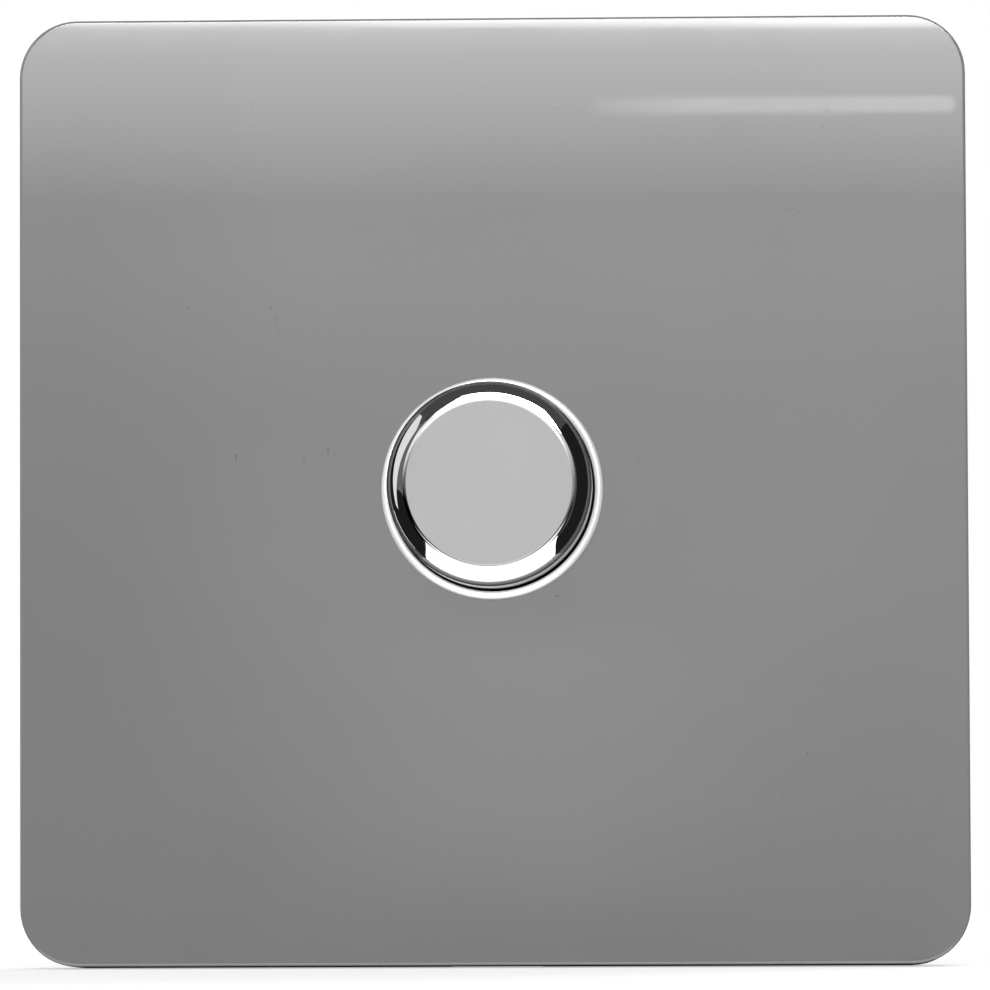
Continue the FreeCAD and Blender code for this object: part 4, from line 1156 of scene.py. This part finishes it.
@dataclass
class BackCard:
    """The tall card behind the camera: a wall, a window, a bright top, a lit foot and a strip light."""

    distance: float = 1.4
    size: tuple[float, float] = (1.2, 1.0)
    wall_foot: Fade = Fade(-0.06, 0.05, 0.1, 0.75, smooth=False)
    wall_step: Fade = Fade(-0.03, -0.022, 0.0, 0.15)
    wall_middle: Fade = Fade(0.1, 0.14, 0.0, 0.6, smooth=False)
    wall_lean: float = 0.4
    near_right: Fade = Fade(0.03, 0.15, 1.0, 0.564, smooth=False)
    far_right: Fade = Fade(0.15, 0.6, 1.0, 0.35, smooth=False)
    left_edge: tuple[float, float] = (-0.175, -0.09)
    left_level: Fade = Fade(0.03, 0.2, 0.0, 0.8, smooth=False)
    window_middle: float = -0.033
    window_side: Fade = Fade(0.0, 0.09, 0.6, 0.0)
    window_sill: Fade = Fade(-0.062, -0.03, 0.0, 1.0)
    window_head: Fade = Fade(0.02, 0.042, 1.0, 0.0)
    top_rise: Fade = Fade(0.16, 0.218, 0.0, 5.2, smooth=False)
    top_edge: Fade = Fade(0.205, 0.25, 0.0, 8.0, smooth=False)
    top_gain: Fade = Fade(0.02, 0.09, 1.0, 1.1)
    top_right: Fade = Fade(0.12, 0.22, 1.0, 0.02)
    top_left: Fade = Fade(-0.215, -0.187, 0.02, 1.0)
    brow_tilt: float = 0.0077
    brow: Fade = Fade(0.212, 0.2125, 0.0, 5.5)
    brow_crest: Fade = Fade(0.2133, 0.2138, 0.0, 5.0)
    brow_end: Fade = Fade(0.2165, 0.218, 1.0, 0.0)
    foot: Fade = Fade(-0.1, -0.08, 2.6, 0.0, smooth=False)
    foot_side: Fade = Fade(0.15, 0.4, 1.0, 0.0)
    strip_start: Place = (-0.012, 0.1885, 0.0)
    strip_end: Place = (0.092, 0.1885, 0.0)
    strip_width: float = 0.0034
    strip_level: Fade = Fade(-0.03, 0.02, 0.0, 3.0)

    def build(self) -> None:
        """Stand the card behind the camera."""
        graph = Glow("back_card")
        place = graph.add("TexCoord").outputs["Object"]
        across, height, _ = graph.parts(place)
        lean = graph.math("SUBTRACT", across, graph.product(height, self.wall_lean))
        left = graph.ramp(across, *self.left_edge, graph.ramp(height, *self.left_level), 1.0)
        wall = graph.total(*graph.fades(height, self.wall_foot, self.wall_step, self.wall_middle))
        wall = graph.product(wall, left, *graph.fades(lean, self.near_right, self.far_right))
        aside = graph.math("ABSOLUTE", graph.math("SUBTRACT", across, self.window_middle))
        window = graph.product(*graph.fades(height, self.window_sill, self.window_head))
        window = graph.product(window, *graph.fades(aside, self.window_side))
        tilt = graph.total(height, graph.product(across, self.brow_tilt))
        brow = graph.total(*graph.fades(tilt, self.brow, self.brow_crest))
        brow = graph.product(brow, *graph.fades(tilt, self.brow_end))
        top = graph.total(brow, *graph.fades(height, self.top_rise, self.top_edge))
        top = graph.product(top, *graph.fades(across, self.top_gain, self.top_right, self.top_left))
        foot = graph.product(*graph.fades(height, self.foot),
                             *graph.fades(graph.math("ABSOLUTE", across), self.foot_side))
        strip = graph.effect(mark_effect(), Place=place, Start=self.strip_start, End=self.strip_end,
                             Width=self.strip_width)
        strip_light = graph.product(strip["Mask"], *graph.fades(across, self.strip_level))
        level = graph.total(wall, window, top, foot, strip_light)
        Card("back_card", (0, -self.distance, 0), self.size, (90, 0, 0)).stand(graph.shine(level))


@dataclass(frozen=True)
class Lamp:
    """A soft square lamp that faces the object and doesn't show in mirrors, with its power in watts."""

    name: str
    place: Place
    side: float
    power: float

    def hang(self) -> None:
        """Hang the lamp in its place."""
        data = bpy.data.lights.new(self.name, "AREA")
        data.size = self.side
        data.energy = self.power
        lamp = add_object(self.name, data)
        lamp.location = self.place
        lamp.rotation_mode = "QUATERNION"
        lamp.rotation_quaternion = (-Vector(self.place)).to_track_quat("-Z", "Y")
        lamp.visible_glossy = False


@dataclass
class Studio:
    """White surroundings, soft lamps and the cards that the plate and the knob mirror."""

    ambient: float = 0.4
    floor_side: float = 1.4
    floor_color: Color = (0.82, 0.82, 0.82)
    floor_roughness: float = 0.9
    floor_glow: float = 0.42
    lamps: tuple[Lamp, ...] = (
        Lamp("key_lamp", (-0.1, -1.7, 0.45), 1.6, 22.5),
        Lamp("rear_lamp", (0.5, 0.9, 0.7), 0.8, 7.0),
    )
    cards: tuple[Card, ...] = (
        Card("sky_card", (0.09, -0.96, 0.5), (1.0, 0.96), (0, 0, 0), 19.0, taper=0.5),
        Card("dim_ceiling", (0.0, -0.2, 0.52), (1.3, 1.4), (0, 0, 0), 0.1),
        Card("ground_card", (0.0, -0.66, -0.3), (0.9, 1.4), (0, 0, 0), 2.6, taper=0.62),
        Card("right_flag", (0.6, -0.6, 0.0), (1.4, 1.9), (0, 90, 0), 0.02),
        Card("right_grey", (0.58, -1.2, 0.0), (0.9, 0.4), (0, 90, 0), 0.12, taper=0.6),
        Card("left_flag", (-0.6, -0.6, 0.25), (1.9, 1.9), (0, 90, 0), 0.02),
        Card("left_grey", (-0.57, -0.9, 0.3), (0.6, 1.1), (0, 90, 0), 0.22),
        Card("left_panel", (-0.5, -0.245, 0.2), (0.85, 0.62), (-90, -15, 90), 1.3, taper=0.1),
        Card("left_strip", (-0.5, 0.185, -0.25), (0.28, 0.13), (0, 90, 0), 2.4),
        Card("foot_shade", (0.0, 0.006, -0.0476), (0.095, 0.03), (0, 0, 0), 0.0),
    )

    def build(self) -> None:
        """Set up the world, floor, lamps and cards."""
        bpy.context.scene.view_settings.view_transform = "Standard"
        self.light_world()
        self.lay_floor()
        for lamp in self.lamps:
            lamp.hang()
        for card in self.cards:
            card.stand(Glow(card.name).shine(card.level))
        BackCard().build()

    def light_world(self) -> None:
        """White for the eye and for mirrors, softer for matt surfaces."""
        world = bpy.data.worlds.new("white_room")
        bpy.context.scene.world = world
        world.use_nodes = True
        graph = Graph(world.node_tree)
        path = graph.add("LightPath").outputs
        seen = graph.math("MAXIMUM", path["Is Camera Ray"], path["Is Glossy Ray"])
        seen = graph.math("MAXIMUM", seen, path["Is Transmission Ray"])
        background = world.node_tree.nodes["Background"]
        background.inputs["Color"].default_value = WHITE
        graph.feed(background.inputs["Strength"], graph.ramp(seen, 0.0, 1.0, self.ambient, 1.0, smooth=False))

    def lay_floor(self) -> None:
        """Lay a pale floor under the plate that shows white and keeps the shadow."""
        low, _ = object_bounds()
        mesh = bmesh.new()
        bmesh.ops.create_grid(mesh, x_segments=1, y_segments=1, size=self.floor_side / 2)
        bmesh.ops.translate(mesh, vec=(0, 0, low.z), verts=mesh.verts[:])
        material = bpy.data.materials.new("pale_floor")
        material.use_nodes = True
        graph = Graph(material.node_tree)
        shader = graph.tree.nodes["Principled BSDF"].inputs
        shader["Base Color"].default_value = opaque(self.floor_color)
        shader["Roughness"].default_value = self.floor_roughness
        shader["Emission Color"].default_value = WHITE
        seen = graph.add("LightPath").outputs["Is Camera Ray"]
        graph.feed(shader["Emission Strength"], graph.product(seen, self.floor_glow))
        floor = add_mesh("floor", mesh, material)
        floor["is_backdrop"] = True
        floor.visible_glossy = False


def main() -> None:
    """Build and dress every sub-assembly, then set up the studio and the camera."""
    logging.basicConfig(level=logging.INFO, format="%(name)s: %(message)s")
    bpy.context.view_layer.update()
    camera = PhotoCamera()
    modelled = (Knob(), Potentiometer(), PushSwitch())
    for part in modelled:
        part.build()
    for part in (FrontPlate(camera), WallFrame(), DimmerModule(), *modelled, Electronics()):
        part.dress()
    Studio().build()
    camera.build()


if __name__ == "__main__":
    main()
